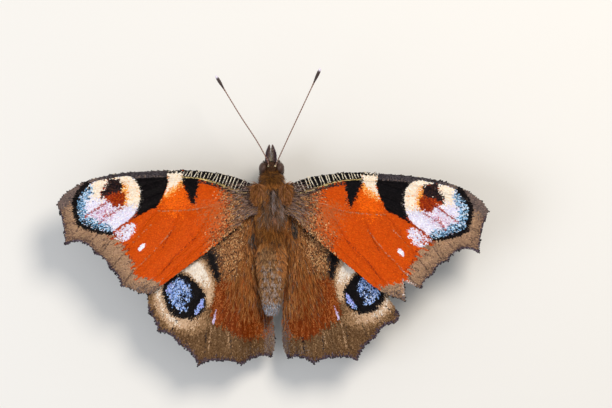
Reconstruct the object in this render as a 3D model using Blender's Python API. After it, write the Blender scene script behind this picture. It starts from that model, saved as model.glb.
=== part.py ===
"""Peacock butterfly, life size, standing on four legs with its wings spread flat.

The script works in metres. While it is modelled, the body's middle is at x = 0, the middle of the
thorax at y = 0 and the floor at z = 0; the head points to -Y and the animal's left side to +X.
One empty carries everything, and moves it at the end so that the middle of the bounding box's
base is the origin.
"""

import math

import bmesh
import bpy
from mathutils import Matrix, Vector, geometry

MM = 0.001

# Driving sizes of the animal
FOREWING_SPAN = 28.8 * MM  # from the body's middle to the forewing's tip
THORAX_LENGTH = 8.4 * MM
THORAX_WIDTH = 4.4 * MM
THORAX_DEPTH = 5.2 * MM
THORAX_HEIGHT = 6.2 * MM  # of its middle above the floor
ABDOMEN_LENGTH = 10.2 * MM
ABDOMEN_WIDTH = 3.7 * MM
HEAD_WIDTH = 2.3 * MM
EYE_SPREAD = 1.12 * MM  # from the body's middle to the middle of an eye
ANTENNA_THICKNESS = 0.5 * MM

# Clearances and thicknesses
JOINT_GAP = 0.27 * MM  # between nodes that meet
WING_THICKNESS = 0.5 * MM
VEIN_RISE = 0.14 * MM  # of a vein's crest above the membrane, on both faces
VEIN_HALF_WIDTH = 0.27 * MM
WING_STACK = 1.12 * MM  # from the forewing's middle surface down to the hindwing's
FLOOR = 0.0

# The canopy is the gently arched surface that the spread wings lie in
CANOPY_HEIGHT = 7.45 * MM
CANOPY_SLOPE = 0.125
CANOPY_CURVE = 0.0041 / MM
CANOPY_FALL = 0.03  # drop of the wings for each metre towards the tail

# Forewing: where the veins end on the outer margin, as (out from the body, back from the thorax)
FOREWING_PIVOT = (2.5 * MM, -4.1 * MM)
FOREWING_SWEEP = {"L": 0.0, "R": 2.0}  # degrees that each wing is turned back
FOREWING_STRETCH = {"L": 1.0, "R": 1.018}
FOREWING_LEADING = [
    (1.1, -3.7), (2.5, -4.15), (5.3, -5.2), (10.0, -5.93), (14.8, -5.95),
    (20.0, -5.62), (24.3, -4.75), (27.4, -3.1),
]
FOREWING_TEETH = {
    "radius_5": (28.8, -1.5),
    "media_1": (27.75, 4.0),
    "media_2": (23.6, 5.2),
    "media_3": (21.7, 7.15),
    "cubitus_1": (20.2, 9.5),
    "cubitus_2": (18.2, 11.0),
    "anal": (16.3, 10.65),
}
FOREWING_SCALLOPS = [0.32, 1.05, 0.42, 0.42, 0.16, 0.1]  # depth of the margin between teeth
FOREWING_TRAILING = [(14.3, 9.1), (10.2, 6.0), (8.1, 4.45), (4.6, 1.6), (2.9, 0.0), (1.1, -0.4)]
FOREWING_WEAR = {
    "L": {"cubitus_2": (-0.35, -0.65)},
    "R": {"cubitus_1": (0.1, -0.5), "cubitus_2": (-0.05, -0.25), "anal": (0.0, -0.55)},
}
CHIP_SIDE = "R"  # the right forewing has lost a bit of margin between two teeth
CHIP_AFTER = "cubitus_1"
CHIP_CORNER = (17.9, 8.0)
FOREWING_VEINS = {
    "radial_stem": [(3.0, -3.2), (7.0, -4.4), (12.0, -4.95), (17.5, -4.85), (22.5, -3.95), "tip"],
    "radius_5": [(14.2, -4.9), (19.5, -3.1), (24.4, -0.4), "hollow"],
    "media_1": [(14.4, -3.2), (20.8, -0.8), (23.3, 1.1), "media_1"],
    "media_2": [(14.8, -1.9), (18.5, 0.3), (21.0, 2.2), "media_2"],
    "cell_end": [(14.0, -4.9), (14.4, -3.2), (14.8, -1.9), (15.1, -0.6)],
    "cubital_stem": [(2.9, -2.6), (5.3, -1.9), (10.0, -0.8), (15.1, -0.6), (18.3, 3.2), "media_3"],
    "cubitus_1": [(12.3, -0.75), (13.7, 2.6), (16.8, 5.8), "cubitus_1"],
    "cubitus_2": [(7.6, -1.35), (10.9, 3.9), (13.3, 6.1), "cubitus_2"],
    "anal": [(3.0, -1.1), (7.0, 1.9), (12.0, 6.3), "anal"],
}
FOREWING_TIP_VEIN_END = (27.2, -2.3)
FOREWING_HOLLOW_VEIN_END = (27.7, 1.2)

# Hindwing: angles in degrees from straight back, outwards, and radii from its pivot
HINDWING_PIVOT = (2.6 * MM, 0.0)
HINDWING_SWEEP = {"L": -2.4, "R": 2.4}
HINDWING_TUCK = {"L": 0.0, "R": 1.6}  # degrees that the inner margin is drawn away from the abdomen
HINDWING_LEADING = [(118, 3.6), (92, 8.6), (77, 12.6)]
HINDWING_CORNER = {  # end of the leading edge, first tooth, and hollow behind it
    "L": ((62.9, 15.9), (49.5, 19.0), 0.25),
    "R": ((50.0, 16.0), (45.2, 19.65), -0.25),
}
HINDWING_TEETH = {
    "media_1": (41.3, 20.1),
    "media_2": (32.2, 20.0),
    "media_3": (22.1, 21.6),
    "cubitus_1": (15.6, 20.1),
    "cubitus_2": (6.2, 20.2),
    "anal": (-5.2, 19.3),
}
HINDWING_SCALLOPS = [0.55, 0.5, 0.35, 0.3, 0.55]
HINDWING_TRAILING = [(-7.6, 17.3), (-8.6, 14.0), (-8.8, 10.5), (-12.0, 6.5), (-30.0, 3.2)]
HINDWING_ROOT = [(-100, 1.5), (165, 2.4)]
HINDWING_VEINS = {
    "radial_stem": [(120, 1.6), (75, 4.6), (62, 8.5), (57, 12.0)],
    "radial": [(66, 6.4), (50, 10.5), (48.5, 14.5), "radial"],
    "media_1": [(50, 10.0), (42.5, 14.0), "media_1"],
    "media_2": [(46, 9.2), (35, 13.0), "media_2"],
    "media_3": [(88, 1.4), (46, 4.6), (31, 9.4), (24.5, 14.5), "media_3"],
    "cubitus_1": [(32, 8.8), (18.5, 13.5), "cubitus_1"],
    "cubitus_2": [(42, 5.4), (16, 10.5), (8.0, 15.0), "cubitus_2"],
    "anal": [(60, 1.4), (6, 6.0), (-2.5, 12.0), "anal"],
}
TROUGH_DEPTH = 2.5 * MM  # the inner margins are folded down into a gutter for the abdomen
TROUGH_WIDTH = 4.6 * MM
TROUGH_START = 2.2 * MM  # behind the middle of the thorax
TROUGH_FULL = 7.5 * MM

WING_CURVE_STEPS = 3  # points between two named points of a smooth edge or vein
WING_SCALLOP_STEPS = 6
WING_FILL_SPACING = 1.8 * MM

MATERIALS = {
    "wing_scales": ((0.42, 0.10, 0.02), 0.75),
    "body_hair": ((0.20, 0.10, 0.04), 0.9),
    "abdomen_hair": ((0.13, 0.09, 0.06), 0.85),
    "eye": ((0.05, 0.025, 0.02), 0.35),
    "feeler": ((0.04, 0.025, 0.02), 0.5),
    "tongue": ((0.10, 0.05, 0.02), 0.4),
    "leg": ((0.07, 0.05, 0.035), 0.6),
}


def make_material(name):
    colour, roughness = MATERIALS[name]
    material = bpy.data.materials.new(name)
    material.use_nodes = True
    shader = material.node_tree.nodes["Principled BSDF"]
    shader.inputs["Base Color"].default_value = (*colour, 1.0)
    shader.inputs["Roughness"].default_value = roughness
    shader.inputs["Metallic"].default_value = 0.0
    return material


def smooth_step(value, low, high):
    t = min(1.0, max(0.0, (value - low) / (high - low)))
    return t * t * (3.0 - 2.0 * t)


def smooth_path(points, steps):
    """Points on the Catmull-Rom curve through the given points."""
    points = [Vector(p) for p in points]
    padded = [2 * points[0] - points[1], *points, 2 * points[-1] - points[-2]]
    found = []
    for before, start, end, after in zip(padded, padded[1:], padded[2:], padded[3:]):
        for step in range(steps):
            t = step / steps
            found.append(
                0.5 * (2 * start + (end - before) * t
                       + (2 * before - 5 * start + 4 * end - after) * t * t
                       + (3 * start - before - 3 * end + after) * t * t * t)
            )
    found.append(points[-1])
    return found


def new_node(name, bm, material):
    """One closed body from a bmesh, carried by the root."""
    bmesh.ops.recalc_face_normals(bm, faces=bm.faces)
    mesh = bpy.data.meshes.new(name)
    bm.to_mesh(mesh)
    bm.free()
    mesh.materials.append(material)
    node = bpy.data.objects.new(name, mesh)
    bpy.context.scene.collection.objects.link(node)
    node.parent = root
    return node


def bridge_rings(bm, rings):
    """Skins a row of rings of equal count, and closes both ends with a fan."""
    loops = [[bm.verts.new(point) for point in ring] for ring in rings]
    for near, far in zip(loops, loops[1:]):
        for i in range(len(near)):
            j = (i + 1) % len(near)
            bm.faces.new((near[i], near[j], far[j], far[i]))
    for loop in (loops[0], loops[-1]):
        centre = bm.verts.new(sum((v.co for v in loop), Vector()) / len(loop))
        for i in range(len(loop)):
            bm.faces.new((loop[i], loop[(i + 1) % len(loop)], centre))


def oval(centre, across, up, width, height, sides, squareness=1.0, first=0.0):
    """A ring of points round centre: an ellipse, or fuller at the corners above squareness 1."""
    ring = []
    for i in range(sides):
        angle = 2 * math.pi * (i + first) / sides
        c, s = math.cos(angle), math.sin(angle)
        c = math.copysign(abs(c) ** (1 / squareness), c)
        s = math.copysign(abs(s) ** (1 / squareness), s)
        ring.append(Vector(centre) + Vector(across) * (width * c) + Vector(up) * (height * s))
    return ring


def body_node(name, stations, sides, material, squareness=1.0):
    """A body along Y. A station is (y, z of the middle, half width, half height), in millimetres."""
    bm = bmesh.new()
    rings = []
    for y, z, width, height in stations:
        centre = (0.0, y * MM, z * MM)
        rings.append(oval(centre, (1, 0, 0), (0, 0, 1), width * MM, height * MM, sides, squareness))
    bridge_rings(bm, rings)
    node = new_node(name, bm, material)
    node.data.shade_smooth()
    return node


def tube_node(name, points, radii, sides, material, flatten=1.0, on_floor=False):
    """A round limb along points. flatten under 1 narrows it across; on_floor gives it a flat sole."""
    bm = bmesh.new()
    points = [Vector(p) for p in points]
    rings = []
    across = Vector((1, 0, 0))
    for i, point in enumerate(points):
        ahead = (points[min(i + 1, len(points) - 1)] - points[max(i - 1, 0)]).normalized()
        if on_floor:
            across = ahead.cross((0, 0, 1)).normalized()
        else:
            across = (across - ahead * across.dot(ahead)).normalized()
        up = across.cross(ahead)
        rings.append(oval(point, across, up, radii[i] * flatten, radii[i], sides, first=0.5 * on_floor))
    bridge_rings(bm, rings)
    if on_floor:
        for vert in bm.verts:
            vert.co.z = max(vert.co.z, FLOOR)
    node = new_node(name, bm, material)
    node.data.shade_smooth()
    return node


def ball_node(name, centre, radii, rows, sides, material):
    bm = bmesh.new()
    bmesh.ops.create_uvsphere(bm, u_segments=sides, v_segments=rows, radius=1.0)
    place = Matrix.Translation(Vector(centre)) @ Matrix.Diagonal((*radii, 1.0))
    bmesh.ops.transform(bm, matrix=place, verts=bm.verts)
    node = new_node(name, bm, material)
    node.data.shade_smooth()
    return node


def apply_modifiers(node):
    graph = bpy.context.evaluated_depsgraph_get()
    made = bpy.data.meshes.new_from_object(node.evaluated_get(graph))
    node.modifiers.clear()
    old = node.data
    node.data = made
    bpy.data.meshes.remove(old)


def keep_largest(node):
    """Drops every loose scrap that a cut leaves, and keeps the largest closed surface."""
    bm = bmesh.new()
    bm.from_mesh(node.data)
    bm.faces.ensure_lookup_table()
    groups, seen = [], set()
    for face in bm.faces:
        if face in seen:
            continue
        seen.add(face)
        group, waiting = [], [face]
        while waiting:
            here = waiting.pop()
            group.append(here)
            for edge in here.edges:
                for other in edge.link_faces:
                    if other not in seen:
                        seen.add(other)
                        waiting.append(other)
        groups.append(group)
    largest = max(groups, key=lambda group: sum(face.calc_area() for face in group))
    scraps = [face for group in groups if group is not largest for face in group]
    bmesh.ops.delete(bm, geom=scraps, context="FACES")
    bm.to_mesh(node.data)
    bm.free()


def swollen_copy(node, gap):
    """A copy of a node's mesh, grown by gap along its normals, to cut a neighbour with."""
    bm = bmesh.new()
    bm.from_mesh(node.data)
    bm.normal_update()
    places = [vert.co + vert.normal * (gap * vert.calc_shell_factor()) for vert in bm.verts]
    for vert, place in zip(bm.verts, places):
        vert.co = place
    mesh = bpy.data.meshes.new("swollen")
    bm.to_mesh(mesh)
    bm.free()
    cutter = bpy.data.objects.new("swollen", mesh)
    cutter.hide_render = True
    cutter.display_type = "WIRE"
    bpy.context.scene.collection.objects.link(cutter)
    return cutter


def cut_clear(node, neighbours, gap=JOINT_GAP):
    """Cuts node back from its neighbours, so that it meets each face to face across the gap."""
    for neighbour in neighbours:
        cutter = swollen_copy(neighbour, gap)
        cut = node.modifiers.new("clear", "BOOLEAN")
        cut.operation = "DIFFERENCE"
        cut.object = cutter
        apply_modifiers(node)
        bpy.data.objects.remove(cutter)
    keep_largest(node)


def mirrored(side):
    """+1 for the animal's left, which is +X, and -1 for its right."""
    return 1 if side == "L" else -1


def scallop(start, end, depth, inward, steps):
    """The hollow of the margin between two teeth, without its last point."""
    start, end = Vector(start), Vector(end)
    normal = Vector((-(end - start).y, (end - start).x)).normalized()
    if normal.dot(inward - start) < 0:
        normal = -normal
    points = []
    for step in range(steps):
        t = step / steps
        points.append(start.lerp(end, t) + normal * depth * math.sin(math.pi * t) ** 0.7)
    return points


def turn_about(point, pivot, degrees, stretch=1.0):
    """Turns a point of the left wing towards the tail, about its pivot."""
    angle = math.radians(degrees)
    x, y = (Vector(point) - Vector(pivot)) * stretch
    return Vector((
        pivot[0] + x * math.cos(angle) - y * math.sin(angle),
        pivot[1] + x * math.sin(angle) + y * math.cos(angle),
    ))


def forewing_plan(side):
    """Outline and veins of a forewing, in the plane, on the left side."""
    place = lambda p: turn_about(
        Vector(p) * MM, FOREWING_PIVOT, FOREWING_SWEEP[side], FOREWING_STRETCH[side]
    )
    teeth = {}
    for name, tooth in FOREWING_TEETH.items():
        worn = FOREWING_WEAR[side].get(name, (0.0, 0.0))
        teeth[name] = place(Vector(tooth) + Vector(worn))
    names = list(teeth)
    leading = smooth_path([place(p) for p in FOREWING_LEADING] + [teeth["radius_5"]], WING_CURVE_STEPS)
    outline = leading[:-1]
    middle = place((12.0, 0.0))
    for near, far, depth in zip(names, names[1:], FOREWING_SCALLOPS):
        if side == CHIP_SIDE and near == CHIP_AFTER:
            outline += [teeth[near], place(CHIP_CORNER)]
        else:
            outline += scallop(teeth[near], teeth[far], depth * MM, middle, WING_SCALLOP_STEPS)
    outline += smooth_path([teeth["anal"]] + [place(p) for p in FOREWING_TRAILING], WING_CURVE_STEPS)
    ends = dict(teeth, tip=place(FOREWING_TIP_VEIN_END), hollow=place(FOREWING_HOLLOW_VEIN_END))
    veins = []
    for route in FOREWING_VEINS.values():
        veins.append([ends[p] if isinstance(p, str) else place(p) for p in route])
    return outline, veins


def hindwing_plan(side):
    """Outline and veins of a hindwing, in the plane, on the left side."""
    def place(polar):
        angle = math.radians(polar[0] + HINDWING_SWEEP[side])
        radius = polar[1] * MM
        return Vector((
            HINDWING_PIVOT[0] + radius * math.sin(angle),
            HINDWING_PIVOT[1] + radius * math.cos(angle),
        ))
    corner, first_tooth, first_hollow = HINDWING_CORNER[side]
    teeth = {"radial": place(first_tooth)}
    teeth.update((name, place(tooth)) for name, tooth in HINDWING_TEETH.items())
    tuck = HINDWING_TUCK[side]
    teeth["anal"] = place((HINDWING_TEETH["anal"][0] + tuck, HINDWING_TEETH["anal"][1]))
    trailing = [place((angle + tuck, radius)) for angle, radius in HINDWING_TRAILING]
    names = list(teeth)
    root_points = [place(p) for p in HINDWING_ROOT]
    leading = smooth_path(
        [root_points[-1]] + [place(p) for p in (*HINDWING_LEADING, corner)] + [teeth["radial"]],
        WING_CURVE_STEPS,
    )
    outline = leading[:-1]
    middle = place((25, 8))
    for near, far, depth in zip(names, names[1:], [first_hollow, *HINDWING_SCALLOPS]):
        outline += scallop(teeth[near], teeth[far], depth * MM, middle, WING_SCALLOP_STEPS)
    outline += smooth_path([teeth["anal"]] + trailing, WING_CURVE_STEPS)
    outline += root_points[:1]
    veins = []
    for route in HINDWING_VEINS.values():
        veins.append([teeth[p] if isinstance(p, str) else place(p) for p in route])
    return outline, veins


def canopy(x, y):
    """Height of the forewing's middle surface over a point of the plan."""
    out = abs(x)
    return CANOPY_HEIGHT + CANOPY_SLOPE * out - CANOPY_CURVE * out * out - CANOPY_FALL * y


def hindwing_height(x, y):
    fold = smooth_step(TROUGH_WIDTH - x, 0.0, TROUGH_WIDTH)
    reach = smooth_step(y, TROUGH_START, TROUGH_FULL)
    return canopy(max(x, 0.0), y) - WING_STACK - TROUGH_DEPTH * fold * reach


def inside(point, outline):
    """True where a point of the plan lies inside the outline."""
    found = False
    for a, b in zip(outline, outline[1:] + outline[:1]):
        if (a.y > point.y) != (b.y > point.y):
            if point.x < a.x + (point.y - a.y) / (b.y - a.y) * (b.x - a.x):
                found = not found
    return found


def nearest_on_line(point, line):
    """Distance from a point to a polyline, and how far along it the nearest place is."""
    best, along, length = math.inf, 0.0, 0.0
    for a, b in zip(line, line[1:]):
        step = b - a
        t = min(1.0, max(0.0, (point - a).dot(step) / step.length_squared))
        distance = (point - a - step * t).length
        if distance < best:
            best, along = distance, length + t * step.length
        length += step.length
    return best, along, length


def vein_rise(point, lines):
    """Height of the nearest vein's roof over the membrane; it runs out at the vein's far end."""
    rise = 0.0
    for line in lines:
        distance, along, length = nearest_on_line(point, line)
        roof = max(0.0, 1.0 - distance / VEIN_HALF_WIDTH)
        taper = min(1.0, (length - along) / (2 * VEIN_HALF_WIDTH))
        rise = max(rise, roof * taper * VEIN_RISE)
    return rise


def vein_outline(line):
    """A closed strip round a vein's line, inside the wing, as the foot of its roof."""
    left, right = [], []
    for i, point in enumerate(line[:-1]):
        ahead = (line[i + 1] - line[max(i - 1, 0)]).normalized()
        side = Vector((-ahead.y, ahead.x)) * VEIN_HALF_WIDTH
        left.append(point + side)
        right.append(point - side)
    return left + [line[-1]] + right[::-1]


def wing_node(side, name, plan, height, material):
    """A wing: its plan is triangulated once, and the same triangles make both faces."""
    outline, routes = plan
    lines = []
    for route in routes:
        end = route[-1] + (route[-2] - route[-1]).normalized() * 0.35 * MM
        lines.append(smooth_path(route[:-1] + [end], WING_CURVE_STEPS))
    points, edges = [], []

    def add_run(run, closed):
        first = len(points)
        points.extend(run)
        count = len(run)
        last = count if closed else count - 1
        edges.extend((first + i, first + (i + 1) % count) for i in range(last))

    add_run(outline, True)
    for line in lines:
        add_run(line, False)
        add_run(vein_outline(line), True)
    rows = math.ceil(2 * FOREWING_SPAN / WING_FILL_SPACING)
    for row in range(-rows, rows):
        for column in range(rows):
            spot = Vector(((column + 0.5 * (row % 2)) * WING_FILL_SPACING, row * 0.87 * WING_FILL_SPACING))
            clear_of_veins = all(
                nearest_on_line(spot, line)[0] > 2.6 * VEIN_HALF_WIDTH for line in lines
            )
            clear_of_edge = nearest_on_line(spot, outline + outline[:1])[0] > 0.5 * MM
            if inside(spot, outline) and clear_of_veins and clear_of_edge:
                points.append(spot)
    scaled = [point / MM for point in points]
    found, _, triangles, _, _, _ = geometry.delaunay_2d_cdt(
        scaled, edges, [list(range(len(outline)))], 1, 1e-4
    )
    found = [point * MM for point in found]
    bm = bmesh.new()
    upper, lower = [], []
    for point in found:
        middle = height(point.x, point.y)
        half = WING_THICKNESS / 2 + vein_rise(point, lines)
        x = point.x * mirrored(side)
        upper.append(bm.verts.new((x, point.y, middle + half)))
        lower.append(bm.verts.new((x, point.y, middle - half)))
    rims = {}
    for a, b, c in triangles:
        bm.faces.new((upper[a], upper[b], upper[c]))
        bm.faces.new((lower[c], lower[b], lower[a]))
        for edge in ((a, b), (b, c), (c, a)):
            rims[edge] = rims.get(edge, 0) + 1
    for a, b in rims:
        if (b, a) not in rims:
            bm.faces.new((upper[b], upper[a], lower[a]))
            bm.faces.new((upper[b], lower[a], lower[b]))
    loose = [vert for vert in bm.verts if not vert.link_faces]
    bmesh.ops.delete(bm, geom=loose, context="VERTS")
    return new_node(f"{name}_{side}", bm, material)


def thorax_stations():
    """The thorax: narrow at the neck, fullest over the wing roots, drawn in at the waist."""
    profile = [
        (-0.50, 0.60, 0.56), (-0.44, 0.84, 0.76), (-0.34, 0.95, 0.88), (-0.20, 0.98, 0.97),
        (-0.04, 1.00, 1.00), (0.10, 0.97, 0.98), (0.24, 0.88, 0.90), (0.36, 0.78, 0.76),
        (0.45, 0.68, 0.62), (0.50, 0.52, 0.46),
    ]
    middle = -0.3
    return [
        (
            middle + along * THORAX_LENGTH / MM,
            THORAX_HEIGHT / MM + 0.35 * along,
            width * THORAX_WIDTH / MM / 2,
            depth * THORAX_DEPTH / MM / 2,
        )
        for along, width, depth in profile
    ]


ABDOMEN_SEGMENTS = 8
ABDOMEN_FRONT = 3.3  # mm behind the middle of the thorax
SEGMENT_STEP = 0.95  # the front of a segment is this much of its middle
FULLEST = 0.4  # share of the abdomen's length at which it is widest
WAIST = 0.2  # share of the width that is lost at the front end


def abdomen_stations():
    """Eight segments, each standing a little proud of the one behind it."""
    def girth(along):
        if along < FULLEST:
            share = 1.0 - WAIST * (1.0 - along / FULLEST) ** 2
        else:
            share = math.sqrt(1.0 - ((along - FULLEST) / (1.08 - FULLEST)) ** 2.2)
        return share * ABDOMEN_WIDTH / MM / 2

    stations = []
    for segment in range(ABDOMEN_SEGMENTS):
        for within, share in ((0.0, SEGMENT_STEP), (0.35, 1.0), (0.92, 1.01)):
            along = (segment + within) / ABDOMEN_SEGMENTS
            y = ABDOMEN_FRONT + along * ABDOMEN_LENGTH / MM
            z = THORAX_HEIGHT / MM + 0.15 - 0.75 * along
            stations.append((y, z, girth(along) * share, girth(along) * share * 0.92))
    end = ABDOMEN_FRONT + ABDOMEN_LENGTH / MM
    stations.append((end - 0.05, THORAX_HEIGHT / MM - 0.6, 0.45, 0.42))
    stations.append((end + 0.1, THORAX_HEIGHT / MM - 0.6, 0.2, 0.2))
    return stations


SOLE_HEIGHT = 0.21  # mm from the floor to the middle of a tarsus that lies on it


def walking_leg(side, name, hip, trochanter, knee, ankle, toe, material):
    """Coxa, femur, tibia and a five-jointed tarsus that lies flat on the floor."""
    points, radii = [], []

    def stretch(start, end, thickness):
        start, end = Vector(start), Vector(end)
        for i, radius in enumerate(thickness):
            points.append(start.lerp(end, (i + 0.5) / len(thickness)))
            radii.append(radius * MM)

    stretch(hip, trochanter, (0.52, 0.46, 0.34))
    stretch(trochanter, knee, (0.34, 0.42, 0.40, 0.32))
    stretch(knee, ankle, (0.30, 0.34, 0.32, 0.27))
    ankle, toe = Vector(ankle), Vector(toe)
    for joint in range(5):
        for within, radius in ((0.15, 0.25), (0.85, 0.28)):
            point = ankle.lerp(toe, (joint + within) / 5)
            point.z = max(point.z, SOLE_HEIGHT)
            points.append(point)
            radii.append(radius * MM)
    points.append(Vector((toe.x, toe.y, SOLE_HEIGHT - 0.04)))
    radii.append(0.14 * MM)
    placed = [Vector((p.x * mirrored(side), p.y, p.z)) * MM for p in points]
    return tube_node(f"{name}_{side}", placed, radii, 8, material, on_floor=True)


def fore_leg(side, material):
    """The small brush-like foreleg, folded under the chest."""
    path = [(0.75, -4.7, 4.3), (1.15, -4.9, 3.5), (1.3, -5.6, 3.2), (1.2, -6.4, 3.4), (1.0, -7.1, 3.8)]
    placed = [Vector((x * mirrored(side), y, z)) * MM for x, y, z in smooth_path(path, 2)]
    shares = [0.36, 0.34, 0.30, 0.33, 0.38, 0.38, 0.34, 0.26, 0.14]
    return tube_node(f"foreleg_{side}", placed, [s * MM for s in shares], 8, material)


ANTENNA_ROUTE = {  # from the head to the tip, outwards, in millimetres
    "L": [
        (0.42, -6.6, 6.95), (0.56, -7.4, 7.3), (1.98, -10.0, 8.1), (4.02, -13.1, 8.85),
        (5.8, -16.0, 9.35), (7.5, -18.8, 9.6),
    ],
    "R": [(0.47, -6.6, 6.95), (2.0, -9.9, 8.1), (3.55, -13.2, 9.0), (5.1, -16.5, 9.55), (6.62, -19.76, 9.9)],
}
CLUB_SHARE = 0.15  # of the antenna's length


def point_at(path, share):
    """The point at a share of a path's length."""
    left = share * sum((b - a).length for a, b in zip(path, path[1:]))
    for a, b in zip(path, path[1:]):
        if left <= (b - a).length:
            return a.lerp(b, left / (b - a).length)
        left -= (b - a).length
    return path[-1].copy()


def antenna(side, material):
    route = smooth_path(ANTENNA_ROUTE[side], 6)
    shares = [0.0, 0.03, 0.2, 0.4, 0.6, 0.75, 1 - CLUB_SHARE, 0.90, 0.95, 0.985, 1.0]
    thick = [1.35, 1.0, 1.0, 1.0, 1.0, 1.0, 1.05, 1.4, 1.6, 1.3, 0.5]
    points = []
    for share in shares:
        point = point_at(route, share)
        points.append(Vector((point.x * mirrored(side), point.y, point.z)) * MM)
    radii = [ANTENNA_THICKNESS / 2 * t for t in thick]
    return tube_node(f"antenna_{side}", points, radii, 8, material)


PALP_SHIFT = 0.09  # mm to the left by which both palps stand off the middle


def palp(side, material):
    """A scaly labial palp: from under the face it points forwards and up."""
    path = [(0.37, -6.6, 5.0), (0.38, -7.4, 5.2), (0.36, -8.3, 5.9), (0.22, -9.4, 6.9)]
    placed = [Vector((x * mirrored(side) + PALP_SHIFT, y, z)) * MM for x, y, z in smooth_path(path, 3)]
    shares = [0.30, 0.36, 0.42, 0.45, 0.45, 0.43, 0.38, 0.32, 0.22, 0.10]
    return tube_node(f"palp_{side}", placed, [s * MM for s in shares], 8, material, flatten=0.5)


COIL_MIDDLE = (-7.15, 3.35)  # y and z
COIL_OUTER = 1.05
COIL_PITCH = 0.78
COIL_TURNS = 1.35


def proboscis(material):
    """The tongue, coiled like a watch spring below the face."""
    path = [(0.0, -6.2, 4.9), (0.0, -6.15, 4.3)]
    steps = 20
    for step in range(steps + 1):
        turn = COIL_TURNS * step / steps
        radius = COIL_OUTER - COIL_PITCH * turn
        angle = math.radians(15) - 2 * math.pi * turn
        path.append((
            0.0,
            COIL_MIDDLE[0] + radius * math.cos(angle),
            COIL_MIDDLE[1] + radius * math.sin(angle),
        ))
    placed = [Vector(p) * MM for p in path]
    return tube_node("proboscis", placed, [0.25 * MM] * len(placed), 8, material)


def tegula(side, material):
    """The small scaly cap over the root of a forewing."""
    centre = Vector((1.95 * mirrored(side), -3.1, 8.35)) * MM
    return ball_node(f"tegula_{side}", centre, (0.62 * MM, 1.25 * MM, 0.5 * MM), 8, 12, material)


def centre_on_floor():
    """Moves the root so that the origin is the middle of the bounding box's base."""
    bpy.context.view_layer.update()
    corners = [
        node.matrix_world @ vert.co
        for node in bpy.data.objects if node.type == "MESH"
        for vert in node.data.vertices
    ]
    low = [min(corner[axis] for corner in corners) for axis in range(3)]
    high = [max(corner[axis] for corner in corners) for axis in range(3)]
    root.location = (-(low[0] + high[0]) / 2, -(low[1] + high[1]) / 2, -low[2])


for leftover in list(bpy.data.objects):
    bpy.data.objects.remove(leftover)

root = bpy.data.objects.new("root", None)
bpy.context.scene.collection.objects.link(root)
finish = {name: make_material(name) for name in MATERIALS}

thorax = body_node("thorax", thorax_stations(), 24, finish["body_hair"], 1.05)
abdomen = body_node("abdomen", abdomen_stations(), 20, finish["abdomen_hair"])
collar = body_node(
    "prothorax",
    [(-5.75, 6.1, 0.9, 0.9), (-5.5, 6.1, 1.3, 1.3), (-5.0, 6.1, 1.6, 1.55), (-4.2, 6.1, 1.95, 1.75)],
    20, finish["body_hair"],
)
head = body_node(
    "head",
    [
        (-7.45, 5.9, 0.45, 0.5), (-7.3, 5.9, 0.8, 0.85), (-6.9, 5.95, 1.05, 1.15),
        (-6.4, 6.0, HEAD_WIDTH / MM / 2, 1.25), (-5.9, 6.05, 1.05, 1.15), (-5.45, 6.1, 0.8, 0.9),
        (-5.0, 6.1, 0.6, 0.6),
    ],
    20, finish["body_hair"],
)
cut_clear(abdomen, [thorax])
cut_clear(collar, [thorax])
cut_clear(head, [collar])

for side in ("L", "R"):
    eye_place = Vector((EYE_SPREAD * mirrored(side), -6.35 * MM, 6.0 * MM))
    eye = ball_node(f"eye_{side}", eye_place, (0.62 * MM, 0.8 * MM, 1.0 * MM), 10, 14, finish["eye"])
    cut_clear(head, [eye])
    cut_clear(collar, [eye])
for side in ("L", "R"):
    cut_clear(antenna(side, finish["feeler"]), [head])
    cut_clear(palp(side, finish["body_hair"]), [head])
    cut_clear(fore_leg(side, finish["leg"]), [collar, thorax])
cut_clear(proboscis(finish["tongue"]), [head])

for side in ("L", "R"):
    mid = walking_leg(
        side, "midleg", (0.9, -1.7, 4.6), (1.5, -1.9, 3.1), (4.5, -2.7, 4.5),
        (6.6, -3.3, 0.5), (8.9, -4.7, -0.3), finish["leg"],
    )
    hind = walking_leg(
        side, "hindleg", (0.9, 1.3, 4.6), (1.5, 1.9, 3.0), (4.2, 4.2, 4.2),
        (5.8, 8.0, 0.5), (6.9, 10.6, -0.3), finish["leg"],
    )
    cut_clear(mid, [thorax])
    cut_clear(hind, [thorax])
    forewing = wing_node(side, "forewing", forewing_plan(side), canopy, finish["wing_scales"])
    hindwing = wing_node(side, "hindwing", hindwing_plan(side), hindwing_height, finish["wing_scales"])
    cut_clear(forewing, [thorax])
    cut_clear(hindwing, [thorax, abdomen])
    cut_clear(tegula(side, finish["body_hair"]), [thorax, forewing])

centre_on_floor()
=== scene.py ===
"""Looks of a life-size peacock butterfly, resting with its wings spread flat.

Lengths are in millimetres. They turn to metres where a mesh is made. A point (x, y, z) counts from
the middle of the body, outwards to the animal's left, back from the middle of the thorax, and up
from the floor.
"""

import math

import bmesh
import bpy
import numpy as np
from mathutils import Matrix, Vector, geometry


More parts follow.
